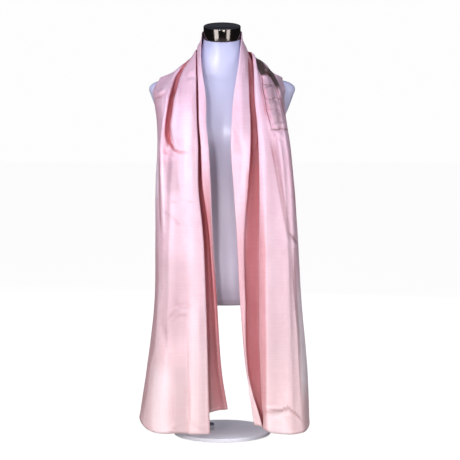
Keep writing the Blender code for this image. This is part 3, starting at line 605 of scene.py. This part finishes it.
def collar_section(skin, side):
    """Section on the front slope of one shoulder."""
    guides = []
    for line in COLLAR:
        x, height, lift = line[1:4] if side < 0 else line[4:7]
        for half in halves(line.name):
            guides.append((x * side, height, LAYER_LIFT + lift + half * COLLAR_GAPE))
    points = []
    for x, height, lift in section(guides) * MM:
        place = front_of_form(skin, x, height)
        across = front_of_form(skin, x + SLOPE_REACH, height) - front_of_form(skin, x - SLOPE_REACH, height)
        upward = front_of_form(skin, x, height + SLOPE_REACH) - front_of_form(skin, x, height - SLOPE_REACH)
        outward = np.cross(across, upward)
        points.append(place + outward / np.linalg.norm(outward) * lift)
    return np.array(points)


def yoke_profile(angle):
    """The form's outline in the upright plane at an angle round the neck, from the cloth's start down."""
    points = []
    for height in PROFILE_HEIGHTS:
        above = max(height - NECK_TOP, 0.0)
        points.append(torso_point(angle, min(height, NECK_TOP)) + np.array([0, 0, above]))
    points = np.array(points)
    return points, run_along(points)


def on_profile(points, run, distance, angle):
    """Place and outward direction at a distance down a profile."""
    ahead = read_line(points, run, distance + PROFILE_REACH)
    behind = read_line(points, run, max(distance - PROFILE_REACH, 0))
    downward = (ahead - behind) / np.linalg.norm(ahead - behind)
    sideways = np.array([-sin(angle), cos(angle), 0.0])
    outward = np.cross(sideways, downward)
    out_and_up = np.array([cos(angle), sin(angle), UPWARD])
    if outward @ out_and_up < 0:
        outward = -outward
    return read_line(points, run, distance), outward / np.linalg.norm(outward)


def yoke_section(degrees):
    """Section over a shoulder or the back, in the upright plane at an angle round the neck."""
    angle = radians(degrees)
    profile, run = yoke_profile(angle)
    at = np.array([float(degrees)])
    guides = []
    for line in YOKE:
        distance = spline((line.right, line.back, line.left), YOKE_KNOWN, at)[0]
        lift = spline((line.right_lift, line.back_lift, line.left_lift), YOKE_KNOWN, at)[0]
        for half in halves(line.name):
            guides.append((distance, LAYER_LIFT + lift + half * line.gape))
    points = []
    for distance, lift in section(guides) * MM:
        place, outward = on_profile(profile, run, distance, angle)
        points.append(place + outward * lift)
    return np.array(points)


def cloth_net(skin):
    """Sections from the left hem over the neck to the right hem."""
    rows = [tail_section(LEFT_TAIL, level, -1) for level in range(LEVELS)]
    rows.append(collar_section(skin, -1))
    rows += [yoke_section(degrees) for degrees in YOKE_ANGLES]
    rows.append(collar_section(skin, 1))
    rows += [tail_section(RIGHT_TAIL, level, 1) for level in reversed(range(LEVELS))]
    return np.array(rows)


def stations(marks):
    """Places along the cloth: each stretch between two marks is cut into its number of rows."""
    places = [marks[0]]
    for start, end, count in zip(marks, marks[1:], ROWS):
        places += [start + (end - start) * (i + 1) / count for i in range(count)]
    return np.array(places)


def normals_of(points):
    """Unit normals of a grid of points, which face the front on the tails' front panels."""
    along = np.gradient(points, axis=0)
    across = np.gradient(points, axis=1)
    normal = np.cross(across, along)
    length = np.linalg.norm(normal, axis=2, keepdims=True)
    normal = normal / np.maximum(length, 1e-9)
    probe = normal[PANEL_ROW, GUIDE_COLUMN[PANEL_GUIDE]]
    return normal if probe[1] < 0 else -normal


def distance_to_path(x, z, path):
    """How far each place lies from a line in the front view, plus on its left, and at what share of it."""
    path = np.array(path) * MM
    lengths = np.linalg.norm(np.diff(path, axis=0), axis=1)
    before = np.concatenate([[0.0], np.cumsum(lengths)])
    nearest = np.full(x.shape, 1e9)
    signed = np.zeros(x.shape)
    share = np.zeros(x.shape)
    for i, (start, end) in enumerate(zip(path, path[1:])):
        run = end - start
        t = ((x - start[0]) * run[0] + (z - start[1]) * run[1]) / (run @ run)
        t = np.clip(t, 0, 1)
        away = np.hypot(x - start[0] - t * run[0], z - start[1] - t * run[1])
        turn = np.sign(run[0] * (z - start[1]) - run[1] * (x - start[0]))
        closer = away < nearest
        nearest = np.where(closer, away, nearest)
        signed = np.where(closer, away * turn, signed)
        share = np.where(closer, (before[i] + t * lengths[i]) / before[-1], share)
    return signed, share


def along_line(points, line, falloff, behind=False):
    """The columns that a crease or change of colour reaches, and how strongly it acts at their points."""
    side = -1 if line.path[0][0] < 0 else 1
    columns = slice(GUIDE_COLUMN[line.first], GUIDE_COLUMN[line.last] + 1)
    x, y, z = (points[:, columns, k] for k in range(3))
    away, share = distance_to_path(x, z, line.path)
    width = np.where(away > 0, line.left, line.right) * MM
    fade = np.clip(np.minimum(share, 1 - share) / falloff.fading + END_STRENGTH, 0, 1)
    if behind:
        reached = np.clip((y - BACK_BEGINS) / falloff.easing, 0, 1)
    else:
        reached = np.clip((FRONT_ENDS - y) / falloff.easing, 0, 1) * (x * side > -PAST_MIDDLE)
    return columns, reached * fade * np.exp(-np.abs(away / width) ** falloff.shape)


def creased(points):
    """The cloth with its creases pressed in and a gentle unevenness all over."""
    relief = np.zeros(points.shape[:2])
    for crease in CREASES + BACK_CREASES:
        columns, strength = along_line(points, crease, CREASE_FALLOFF, crease in BACK_CREASES)
        relief[:, columns] += strength * crease.height * MM
    relief += unevenness(points)
    return points + normals_of(points) * relief[:, :, None]


def painted_tones(points):
    """How far the painted fold shade, the painted shadow and the painted highlight go at each point. The
    fold shade is strongest where cloth closes over the point.
    """
    free = openness(points)
    shares = {
        "rose": np.clip(FOLD_SHADE_CLOSED - FOLD_SHADE_FALL * free, 0, FOLD_SHADE_MOST),
        "ash": np.zeros(free.shape),
        "pale": np.zeros(free.shape),
    }
    for tone in PAINTED_TONES:
        columns, strength = along_line(points, tone, TONE_FALLOFF)
        for name, share in shares.items():
            share[:, columns] = 1 - (1 - share[:, columns]) * (1 - strength * getattr(tone, name))
    shares["rose"] *= 1 - shares["ash"] ** 3
    return shares


def unevenness(points):
    """Soft waves that run down the cloth, and small ones across it."""
    across = spans(points, 1)
    s, c = np.meshgrid(spans(points, 0), across, indexing="ij")
    draw = np.random.default_rng(UNEVENNESS_SEED)
    waves = np.zeros(s.shape)
    for wave in UNEVENNESS:
        for _ in range(wave.count):
            stretch = draw.uniform(0.75, 1.3, 2)
            phase = draw.uniform(0, 2 * pi, 3)
            lean = draw.uniform(-1, 1)
            ripple = np.sin(2 * pi * (c / (wave.across * stretch[0]) + lean * s / wave.along) + phase[0])
            gate = np.sin(2 * pi * s / (wave.along * stretch[1]) + phase[1])
            waves += ripple * gate * wave.height * MM / np.sqrt(wave.count)
    calm = np.minimum(1.0, (np.minimum(c, across[-1] - c) + CALM_MARGIN) / CALM_WIDTH)
    return waves * calm


def kept_clear(points, skin):
    """The cloth with points that lie in the form or too close to it moved out along its skin's direction."""
    moved = points.copy()
    near = (points[:, :, 2] > NEAR_HEIGHT) | (points[:, :, 1] > NEAR_DEPTH)
    for i, j in zip(*np.nonzero(near)):
        point = Vector(points[i, j])
        place, normal, _, distance = skin.find_nearest(point, SKIN_SEARCH)
        if place is None:
            continue
        signed = distance if (point - place).dot(normal) > 0 else -distance
        if signed < FORM_CLEARANCE:
            moved[i, j] = np.array(place + normal * FORM_CLEARANCE)
    return moved


def fill_ramp(ramp, stops):
    """Sets a colour ramp's stops, each a place from 0 to 1 and a colour."""
    while len(ramp.elements) < len(stops):
        ramp.elements.new(0.5)
    for element, (place, colour) in zip(ramp.elements, stops):
        element.position = place
        element.color = colour


class Level:
    """A number that varies over a surface: a shader socket with arithmetic."""

    def __init__(self, look, socket):
        self.look = look
        self.socket = socket

    def _math(self, operation, first, second):
        made = self.look.node("ShaderNodeMath", {"operation": operation}, {0: first, 1: second})
        return Level(self.look, made.outputs[0])

    def __add__(self, other):
        return self._math("ADD", self, other)

    __radd__ = __add__

    def __sub__(self, other):
        return self._math("SUBTRACT", self, other)

    def __rsub__(self, other):
        return self._math("SUBTRACT", other, self)

    def __mul__(self, other):
        return self._math("MULTIPLY", self, other)

    __rmul__ = __mul__

    def __truediv__(self, other):
        return self._math("DIVIDE", self, other)

    def clamped(self):
        return self._math("MAXIMUM", self._math("MINIMUM", self, 1.0), 0.0)

    def steeper(self, contrast):
        """The same number with more contrast round a half, kept from 0 to 1."""
        return ((self - 0.5) * contrast + 0.5).clamped()


class Look:
    """A procedural finish round one Principled shader."""

    def __init__(self, name, **constants):
        self.material = bpy.data.materials.new(name)
        self.material.use_nodes = True
        self.tree = self.material.node_tree
        self.shader = self.tree.nodes["Principled BSDF"]
        for socket, value in constants.items():
            self.shader.inputs[socket.replace("_", " ")].default_value = value

    def node(self, kind, settings=None, values=None):
        """A node with its settings, and the values or links of its sockets by name or number."""
        made = self.tree.nodes.new(kind)
        for name, value in (settings or {}).items():
            if name == "stops":
                fill_ramp(made.color_ramp, value)
            else:
                setattr(made, name, value)
        for socket, value in (values or {}).items():
            self.put(made.inputs[socket], value)
        return made

    def put(self, socket, value):
        """Links a varying value to a socket, or sets the socket to a constant one."""
        if isinstance(value, Level):
            value = value.socket
        if isinstance(value, bpy.types.NodeSocket):
            self.tree.links.new(value, socket)
        else:
            socket.default_value = value

    def drive(self, socket, value):
        """Gives one of the shader's sockets a value that varies over the surface."""
        self.put(self.shader.inputs[socket], value)

    def place(self):
        """Where a point of the surface lies on its object."""
        return self.node("ShaderNodeTexCoord").outputs["Object"]

    def height(self):
        return Level(self, self.node("ShaderNodeSeparateXYZ", {}, {0: self.place()}).outputs[2])

    def share(self, name):
        """How far a named change of colour goes at a point of the cloth."""
        return Level(self, self.node("ShaderNodeAttribute", {"attribute_name": name}).outputs["Fac"])

    def noise(self, vector, scale, detail=2.0, roughness=0.5):
        values = {"Vector": vector, "Scale": scale, "Detail": detail, "Roughness": roughness}
        return Level(self, self.node("ShaderNodeTexNoise", {}, values).outputs[0])

    def stretched(self, source, scale):
        """Coordinates scaled by their own number in each direction."""
        return self.node("ShaderNodeMapping", {}, {"Vector": source, "Scale": scale}).outputs[0]

    def mixed(self, factor, first, second):
        """Colour between two colours."""
        made = self.node("ShaderNodeMix", {"data_type": "RGBA"}, {0: factor})
        self.put(made.inputs[6], first)
        self.put(made.inputs[7], second)
        return made.outputs[2]

    def bump(self, height, strength, distance):
        values = {"Height": height, "Strength": strength, "Distance": distance}
        self.drive("Normal", self.node("ShaderNodeBump", {}, values).outputs[0])


def satin_look():
    """Silk with slubs across it, pink, with painted light and shade: lilac high up and peach low down, pale
    where a highlight is painted, dark brown in painted shadow, and a dark rosy red as painted shade in
    closed folds.
    """
    look = Look(
        "pink_satin",
        IOR=1.65,
        Sheen_Weight=0.10,
        Sheen_Roughness=0.4,
        Sheen_Tint=(1.0, 0.88, 0.97, 1.0),
        Specular_IOR_Level=0.75,
        Specular_Tint=(1.0, 0.90, 0.99, 1.0),
    )
    weave = look.node("ShaderNodeUVMap", {"uv_map": "cut"}).outputs[0]
    slubs = look.noise(look.stretched(weave, (24, 380, 1)), 1.0, 4.0, 0.65).steeper(1.8)
    broad = look.noise(look.stretched(weave, (22, 7, 1)), 1.0, 4.0, 0.6).steeper(1.6)
    threads = look.noise(look.stretched(weave, (2600, 60, 1)), 1.0, 1.0)
    crinkle = look.noise(look.stretched(weave, (45, 70, 1)), 1.0, 4.0, 0.6)
    tone = (slubs * 0.45 + broad * 0.75 - 0.1).clamped()
    high = (look.height() * 1.25 - 0.1).clamped()
    ash = look.share("ash")
    # Painted light: the silk lilac high up and peach low down, the tints of a cool light from above and a
    # warm one from below
    upper = look.mixed(tone, (0.79, 0.46, 0.58, 1), (0.95, 0.70, 0.84, 1))
    lower = look.mixed(tone, (0.82, 0.54, 0.53, 1), (0.95, 0.74, 0.71, 1))
    # Painted highlight colour: lilac high up and warm low down
    painted_highlight = look.mixed(high, (1.0, 0.93, 0.91, 1), (1.0, 0.86, 0.98, 1))
    # Painted shadow: dark brown, for recesses and strips turned away from the light
    painted_shadow = look.mixed(tone, (0.06, 0.035, 0.03, 1), (0.11, 0.07, 0.06, 1))
    # Painted shade in closed folds: a dark rosy red
    fold_shade = look.mixed(tone, (0.48, 0.055, 0.06, 1), (0.62, 0.13, 0.13, 1))
    lit = look.mixed(look.share("pale"), look.mixed(high, lower, upper), painted_highlight)
    look.drive("Base Color", look.mixed(look.share("rose"), look.mixed(ash, lit, painted_shadow), fold_shade))
    # Where the painted shadow is strongest the silk turns metallic, so it reflects dark instead of white
    look.drive("Metallic", (ash * 2.8 - 2.1).clamped())
    look.drive("Roughness", 0.36 + 0.16 * slubs + 0.08 * broad + 0.25 * ash)
    look.bump(slubs + threads * 0.1 + crinkle * 1.6, 0.6, 0.0012)
    return look.material


def thread_look():
    look = Look("hem_thread", Roughness=0.55, Sheen_Weight=0.3)
    tone = look.noise(look.place(), 300.0, 1.0)
    look.drive("Base Color", look.mixed(tone, (0.78, 0.46, 0.52, 1), (0.92, 0.66, 0.70, 1)))
    return look.material


def form_look():
    """Smooth bluish-white moulding with painted shade: a little darker at its bottom and towards the neck.
    """
    look = Look("form_white", IOR=1.46, Coat_Weight=0.3, Coat_Roughness=0.25)
    cloud = look.noise(look.place(), 9.0, 3.0)
    grain = look.noise(look.place(), 420.0, 2.0)
    up = ((look.height() - 0.35) / 0.73 + 0.1 * cloud - 0.05).clamped()
    # Painted shade: darker and bluer towards the neck and darker at the bottom, lightest round the waist
    stops = (
        (0.0, (0.58, 0.51, 0.61, 1)),
        (0.15, (0.68, 0.64, 0.76, 1)),
        (0.35, (0.74, 0.72, 0.84, 1)),
        (0.7, (0.63, 0.64, 0.83, 1)),
        (1.0, (0.46, 0.49, 0.72, 1)),
    )
    look.drive("Base Color", look.node("ShaderNodeValToRGB", {"stops": stops}, {0: up}).outputs[0])
    look.drive("Roughness", 0.36 + 0.08 * cloud)
    look.bump(grain, 0.05, 0.0005)
    return look.material


def cap_look():
    """Dark polished metal, brushed round the cap."""
    look = Look("cap_metal", Metallic=1.0)
    brush = look.noise(look.stretched(look.place(), (12, 12, 700)), 1.0, 3.0, 0.6)
    smear = look.noise(look.place(), 30.0, 3.0)
    look.drive("Base Color", look.mixed(smear, (0.15, 0.135, 0.12, 1), (0.20, 0.18, 0.16, 1)))
    look.drive("Roughness", 0.06 + 0.08 * brush)
    look.bump(brush, 0.05, 0.0003)
    return look.material


def steel_look():
    """Bright steel, brushed along the pole."""
    look = Look("stand_steel", Metallic=1.0)
    brush = look.noise(look.stretched(look.place(), (400, 400, 8)), 1.0, 3.0, 0.6)
    look.drive("Base Color", look.mixed(brush, (0.62, 0.62, 0.64, 1), (0.74, 0.74, 0.76, 1)))
    look.drive("Roughness", 0.16 + 0.14 * brush)
    look.bump(brush, 0.08, 0.0003)
    return look.material


def lacquer_look():
    look = Look("stand_white", Coat_Weight=0.05, Coat_Roughness=0.3)
    peel = look.noise(look.place(), 160.0, 2.0)
    cloud = look.noise(look.place(), 7.0, 3.0)
    look.drive("Base Color", look.mixed(cloud, (0.78, 0.79, 0.83, 1), (0.84, 0.85, 0.88, 1)))
    look.drive("Roughness", 0.50 + 0.10 * cloud)
    look.bump(peel, 0.06, 0.0006)
    return look.material


def linked(name, mesh, look, slot, *nodes, angle=35):
    """A finished piece from its mesh."""
    piece = bpy.data.objects.new(name, mesh)
    bpy.context.scene.collection.objects.link(piece)
    return dressed(piece, look, slot, *nodes, angle=angle)


def dressed(piece, look, slot, *nodes, angle=35):
    """A piece in its finish, on the root body, for the CAD nodes that it stands for."""
    piece.data.materials.clear()
    piece.data.materials.append(look)
    piece.data.shade_smooth()
    piece.data.set_sharp_from_angle(angle=radians(angle))
    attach(piece, "root")
    if nodes:
        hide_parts(*nodes)
    return piece


def torso_mesh():
    """The form as close rings of points from its bottom to the top of its neck, closed at both ends."""
    shape = bmesh.new()
    table = np.array(TORSO)
    known = table[:, 0]
    heights = np.interp(np.linspace(0, len(known) - 1, FORM_RINGS), np.arange(len(known)), known)
    turns = [2 * pi * i / FORM_SIDES for i in range(FORM_SIDES)]
    rings = [[shape.verts.new(torso_point(turn, height)) for turn in turns] for height in heights]
    for lower, upper in zip(rings, rings[1:]):
        for i in range(FORM_SIDES):
            j = (i + 1) % FORM_SIDES
            shape.faces.new((lower[i], lower[j], upper[j], upper[i]))
    shape.faces.new(rings[0][::-1])
    shape.faces.new(rings[-1])
    mesh = bpy.data.meshes.new("dress_form")
    shape.to_mesh(mesh)
    shape.free()
    return mesh


def in_place(piece):
    """Puts a piece's place and turn into its mesh."""
    bpy.ops.object.select_all(action="DESELECT")
    piece.select_set(True)
    bpy.context.view_layer.objects.active = piece
    bpy.ops.object.transform_apply(location=True, rotation=True, scale=True)


def pick_nothing():
    """Deselects every corner, edge and face of the piece in hand."""
    bpy.ops.object.mode_set(mode="EDIT")
    bpy.ops.mesh.select_all(action="DESELECT")
    bpy.ops.object.mode_set(mode="OBJECT")


def drum(name, radius, low, high, rim, x=0.0, y=0.0, sides=96):
    """A turned drum with its rims rounded."""
    bpy.ops.object.select_all(action="DESELECT")
    place = (x, y, (low + high) / 2)
    bpy.ops.mesh.primitive_cylinder_add(vertices=sides, radius=radius, depth=high - low, location=place)
    piece = bpy.context.active_object
    piece.name = name
    pick_nothing()
    for edge in piece.data.edges:
        first, second = (piece.data.vertices[v].co for v in edge.vertices)
        edge.select = abs(first.z - second.z) < 1e-6
    bpy.ops.object.mode_set(mode="EDIT")
    bpy.ops.mesh.select_mode(type="EDGE")
    bpy.ops.mesh.bevel(offset=rim, segments=RIM_STEPS, affect="EDGES")
    bpy.ops.object.mode_set(mode="OBJECT")
    return piece


def build_form(looks):
    """The dress form and its neck cap, whose flat top dips inside a lip. Gives back the form."""
    torso = linked("dress_form", torso_mesh(), looks["form"], "form_white", "form_torso", angle=50)
    cap = drum("neck_cap", CAP_RADIUS, 0.0, CAP_HEIGHT, CAP_RIM)
    pick_nothing()
    for face in cap.data.polygons:
        face.select = face.normal.z > 0.999
    bpy.ops.object.mode_set(mode="EDIT")
    bpy.ops.mesh.select_mode(type="FACE")
    bpy.ops.mesh.inset(thickness=CAP_LIP, depth=0.0)
    bpy.ops.mesh.inset(thickness=CAP_STEP, depth=-CAP_DIP)
    bpy.ops.object.mode_set(mode="OBJECT")
    cap.matrix_world = (
        Matrix.Translation((0.0, 0.0, NECK_TOP + CAP_GAP))
        @ Matrix.Rotation(NECK_TILT, 4, "X")
        @ Matrix.Translation((0.0, 0.0, CAP_HEIGHT / 2))
    )
    in_place(cap)
    dressed(cap, looks["cap"], "cap_metal", "form_neck_cap")
    return torso


def build_stand(looks):
    """The round base plate, and the flange, pole and socket on it."""
    flange_low = BASE_HEIGHT + CONTACT_GAP
    flange_high = flange_low + FLANGE_HEIGHT
    pole_low = flange_high + CONTACT_GAP
    socket_high = TORSO[0].height - CONTACT_GAP
    socket_low = socket_high - SOCKET_HEIGHT
    pole_high = socket_low - CONTACT_GAP
    base = drum("base_plate", BASE_RADIUS, 0.0, BASE_HEIGHT, rim=0.002, sides=160)
    in_place(base)
    dressed(base, looks["lacquer"], "stand_white", "stand_base")
    for name, node, radius, low, high, rim in (
        ("pole_flange", "stand_flange", FLANGE_RADIUS, flange_low, flange_high, 0.0015),
        ("pole", "stand_pole", POLE_RADIUS, pole_low, pole_high, 0.0003),
        ("pole_socket", "stand_socket", SOCKET_RADIUS, socket_low, socket_high, 0.001),
    ):
        piece = drum(name, radius, low, high, rim, POLE_X, POLE_Y, sides=64)
        in_place(piece)
        dressed(piece, looks["steel"], "stand_steel", node)


def cloth_grid(skin):
    """All points of the cloth's middle surface."""
    net = cloth_net(skin)
    marks = spans(net, 0)
    points = spline(net, marks, stations(marks))
    return kept_clear(creased(points), skin)


def openness(points):
    """How much of the space in front of each point of the cloth is free of cloth, from 0 to 1."""
    rows, columns = points.shape[:2]
    cloth = BVHTree.FromPolygons(points.reshape(-1, 3).tolist(), grid_faces(rows, columns))
    normal = normals_of(points)
    free = np.zeros((rows, columns))
    rays = []
    for lean, count in SHADE_RAYS:
        for turn in range(count):
            spin = 2 * pi * (turn + lean) / count
            rays.append((sin(lean) * cos(spin), sin(lean) * sin(spin), cos(lean)))
    for i in range(rows):
        for j in range(columns):
            out = Vector(normal[i, j])
            side = out.orthogonal().normalized()
            across = out.cross(side)
            start = Vector(points[i, j]) + out * SHADE_START
            hits = 0
            for a, b, c in rays:
                if cloth.ray_cast(start, side * a + across * b + out * c, SHADE_REACH)[0] is not None:
                    hits += 1
            free[i, j] = 1 - hits / len(rays)
    return smoothed(smoothed(free))


def smoothed(values):
    """Each value of a grid taken together with the four beside it."""
    padded = np.pad(values, 1, mode="edge")
    beside = padded[:-2, 1:-1] + padded[2:, 1:-1] + padded[1:-1, :-2] + padded[1:-1, 2:]
    return (beside + 2 * values) / 6


def cloth_mesh(name, points, along, across, shares):
    """A stretch of the cloth, with the flat cut as its UV map and the shares of its painted light and shade
    as attributes.
    """
    mesh = bpy.data.meshes.new(name)
    mesh.from_pydata(points.reshape(-1, 3).tolist(), [], grid_faces(*points.shape[:2]))
    s, c = np.meshgrid(along, across, indexing="ij")
    flat = np.stack([c.ravel(), s.ravel()], axis=1)
    layer = mesh.uv_layers.new(name="cut")
    corners = np.empty(len(mesh.loops), int)
    mesh.loops.foreach_get("vertex_index", corners)
    layer.data.foreach_set("uv", flat[corners].ravel())
    for title, share in shares.items():
        attribute = mesh.attributes.new(name=title, type="FLOAT", domain="POINT")
        attribute.data.foreach_set("value", share.ravel())
    return mesh


def edge_distance(points):
    """How far each point lies from the cloth's nearest edge, measured on the cloth."""
    from_left = from_first_column(points)
    from_start = from_first_column(np.swapaxes(points, 0, 1)).T
    from_right = from_left[:, -1:] - from_left
    from_end = from_start[-1:] - from_start
    return np.minimum(np.minimum(from_left, from_right), np.minimum(from_start, from_end))


def add_wall(piece, from_edge):
    """Gives a stretch of the cloth its wall, which is thicker where its hems are turned."""
    hem = piece.vertex_groups.new(name="hem")
    thick = np.clip((HEM_WIDTH + HEM_MARGIN - from_edge.ravel()) / HEM_STEP, 0.0, 1.0)
    for number in np.nonzero(thick)[0]:
        hem.add([int(number)], float(thick[number]), "REPLACE")
    wall = piece.modifiers.new("wall", "SOLIDIFY")
    wall.thickness = HEM_WALL
    wall.offset = 0.0
    wall.vertex_group = "hem"
    wall.thickness_vertex_group = CLOTH_WALL / HEM_WALL


def build_shawl(looks, skin):
    """The shawl's three stretches, each with its hems and stitches. They meet edge to edge."""
    points = cloth_grid(skin)
    along, across = spans(points, 0), spans(points, 1)
    shares = painted_tones(points)
    normal = normals_of(points)
    from_edge = edge_distance(points)
    section_rows = np.concatenate([[0], np.cumsum(ROWS)])
    first, second = (section_rows[number] for number in MEETING)
    last = len(along) - 1
    for name, node, start, end in (
        ("left_tail", "shawl_left_tail", 0, first),
        ("neck_stretch", "shawl_neck_stretch", first, second),
        ("right_tail", "shawl_right_tail", second, last),
    ):
        rows = slice(start, end + 1)
        own_shares = {title: share[rows] for title, share in shares.items()}
        mesh = cloth_mesh(name, points[rows], along[rows], across, own_shares)
        piece = linked(name, mesh, looks["satin"], "satin", node, angle=180)
        add_wall(piece, from_edge[rows])
        ends = (start == 0, end == last)
        stitches = build_stitches(looks, name + "_stitches", points[rows], normal[rows], ends)


def build_stitches(looks, name, points, normal, ends):
    """Machine stitches along the inner side of a stretch's hems, on both faces of the cloth. ends says
    whether the stretch has the cloth's first end and its last one."""
    paths = []
    for reverse in (False, True):
        grid = points[:, ::-1] if reverse else points
        up = normal[:, ::-1] if reverse else normal
        paths.append(stitch_line(grid, up))
        if ends[int(reverse)]:
            grid = np.swapaxes(points[::-1] if reverse else points, 0, 1)
            up = np.swapaxes(normal[::-1] if reverse else normal, 0, 1)
            paths.append(stitch_line(grid, up))
    verts, faces = [], []
    for path, up in paths:
        run = run_along(path)
        at = np.arange(STITCH_MARGIN, run[-1] - STITCH_MARGIN, STITCH_PITCH)
        centre = read_line(path, run, at)
        ahead = read_line(path, run, at + MM) - centre
        out = read_line(up, run, at)
        ahead /= np.linalg.norm(ahead, axis=1, keepdims=True)
        out /= np.linalg.norm(out, axis=1, keepdims=True)
        side = np.cross(ahead, out)
        for face in (1, -1):
            seat = centre + out * face * STITCH_LIFT
            for middle, a, b, c in zip(seat, ahead, side, out):
                first = len(verts)
                verts += [middle - a * STITCH_LENGTH / 2, middle + a * STITCH_LENGTH / 2]
                verts += [middle + b * STITCH_RADIUS, middle + c * STITCH_RADIUS]
                verts += [middle - b * STITCH_RADIUS, middle - c * STITCH_RADIUS]
                belt = first + 2
                for i in range(4):
                    j = (i + 1) % 4
                    faces += [(first, belt + j, belt + i), (first + 1, belt + i, belt + j)]
    mesh = bpy.data.meshes.new(name)
    mesh.from_pydata([tuple(v) for v in verts], [], faces)
    return linked(name, mesh, looks["thread"], "satin", angle=180)


def stitch_line(grid, up):
    """The line of the stitches beside the first column of a grid, and the cloth's direction along it."""
    path, out = [], []
    for row, row_up, run in zip(grid, up, from_first_column(grid)):
        path.append(read_line(row, run, STITCH_INSET))
        out.append(read_line(row_up, run, STITCH_INSET))
    return np.array(path), np.array(out)


def lay_floor():
    """Plain pale floor. It shows about as bright as the backdrop and doesn't colour the object."""
    bpy.ops.object.select_all(action="DESELECT")
    bpy.ops.mesh.primitive_plane_add(size=FLOOR_SIZE, location=(0, 0, FLOOR_HEIGHT))
    floor = bpy.context.active_object
    floor.name = "floor"
    look = Look("pale_floor", Roughness=0.9, Specular_IOR_Level=0.1, Emission_Strength=FLOOR_GLOW)
    look.put(look.shader.inputs["Emission Color"], (1.0, 0.99, 0.99, 1.0))
    cloud = look.noise(look.place(), 0.6, 2.0)
    look.drive("Base Color", look.mixed(cloud, (0.16, 0.155, 0.155, 1), (0.18, 0.175, 0.175, 1)))
    floor.data.materials.append(look.material)
    floor.visible_diffuse = False
    floor.visible_glossy = False


def hang_backdrop():
    """The world: plain and pale for the camera, and for all else a dim room lit from below and above."""
    world = bpy.data.worlds.new("studio")
    bpy.context.scene.world = world
    world.use_nodes = True
    nodes, links = world.node_tree.nodes, world.node_tree.links
    shown = nodes["Background"]
    shown.inputs["Color"].default_value = (1.0, 1.0, 1.0, 1.0)
    shown.inputs["Strength"].default_value = BACKDROP_GLOW
    lit = nodes.new("ShaderNodeBackground")
    place = nodes.new("ShaderNodeTexCoord")
    parts = nodes.new("ShaderNodeSeparateXYZ")
    raised = nodes.new("ShaderNodeMath")
    raised.operation = "MULTIPLY_ADD"
    raised.inputs[1].default_value = 0.5
    raised.inputs[2].default_value = 0.5
    ramp = nodes.new("ShaderNodeValToRGB")
    fill_ramp(ramp.color_ramp, ROOM)
    ray = nodes.new("ShaderNodeLightPath")
    mix = nodes.new("ShaderNodeMixShader")
    links.new(place.outputs["Generated"], parts.inputs[0])
    links.new(parts.outputs[2], raised.inputs[0])
    links.new(raised.outputs[0], ramp.inputs[0])
    links.new(ramp.outputs[0], lit.inputs["Color"])
    links.new(ray.outputs["Is Camera Ray"], mix.inputs[0])
    links.new(lit.outputs[0], mix.inputs[1])
    links.new(shown.outputs[0], mix.inputs[2])
    links.new(mix.outputs[0], nodes["World Output"].inputs["Surface"])


def hang_lamps():
    """The lamps, unseen by the camera. Those behind the object leave no reflection in it."""
    for lamp in LAMPS:
        data = bpy.data.lights.new(lamp.name, "AREA")
        data.shape = "RECTANGLE"
        data.size, data.size_y = lamp.width, lamp.height
        data.energy = lamp.watts
        data.color = lamp.colour
        light = bpy.data.objects.new(lamp.name, data)
        bpy.context.scene.collection.objects.link(light)
        light.visible_camera = False
        light.visible_glossy = lamp.place[1] < 0
        light.location = lamp.place
        beam = Vector(lamp.aim) - Vector(lamp.place)
        light.rotation_euler = beam.to_track_quat("-Z", "Y").to_euler()


def build_camera():
    """The camera in front and a little above, at the photograph's viewing angle."""
    data = bpy.data.cameras.new("camera")
    camera = bpy.data.objects.new("camera", data)
    bpy.context.scene.collection.objects.link(camera)
    target = Vector(CAMERA_TARGET)
    back = Vector((0.0, -cos(CAMERA_ELEVATION), sin(CAMERA_ELEVATION)))
    camera.location = target + back * CAMERA_DISTANCE
    camera.rotation_euler = (-back).to_track_quat("-Z", "Y").to_euler()
    data.sensor_width = SENSOR
    data.lens = SENSOR * CAMERA_DISTANCE / IMAGE_WIDTH_AT_SHAWL
    bpy.context.scene.camera = camera


def main():
    build_camera()
    looks = {
        "satin": satin_look(),
        "thread": thread_look(),
        "form": form_look(),
        "cap": cap_look(),
        "steel": steel_look(),
        "lacquer": lacquer_look(),
    }
    torso = build_form(looks)
    build_stand(looks)
    build_shawl(looks, skin_of(torso.data))
    bpy.context.scene.view_settings.view_transform = "Standard"
    lay_floor()
    hang_backdrop()
    hang_lamps()


main()
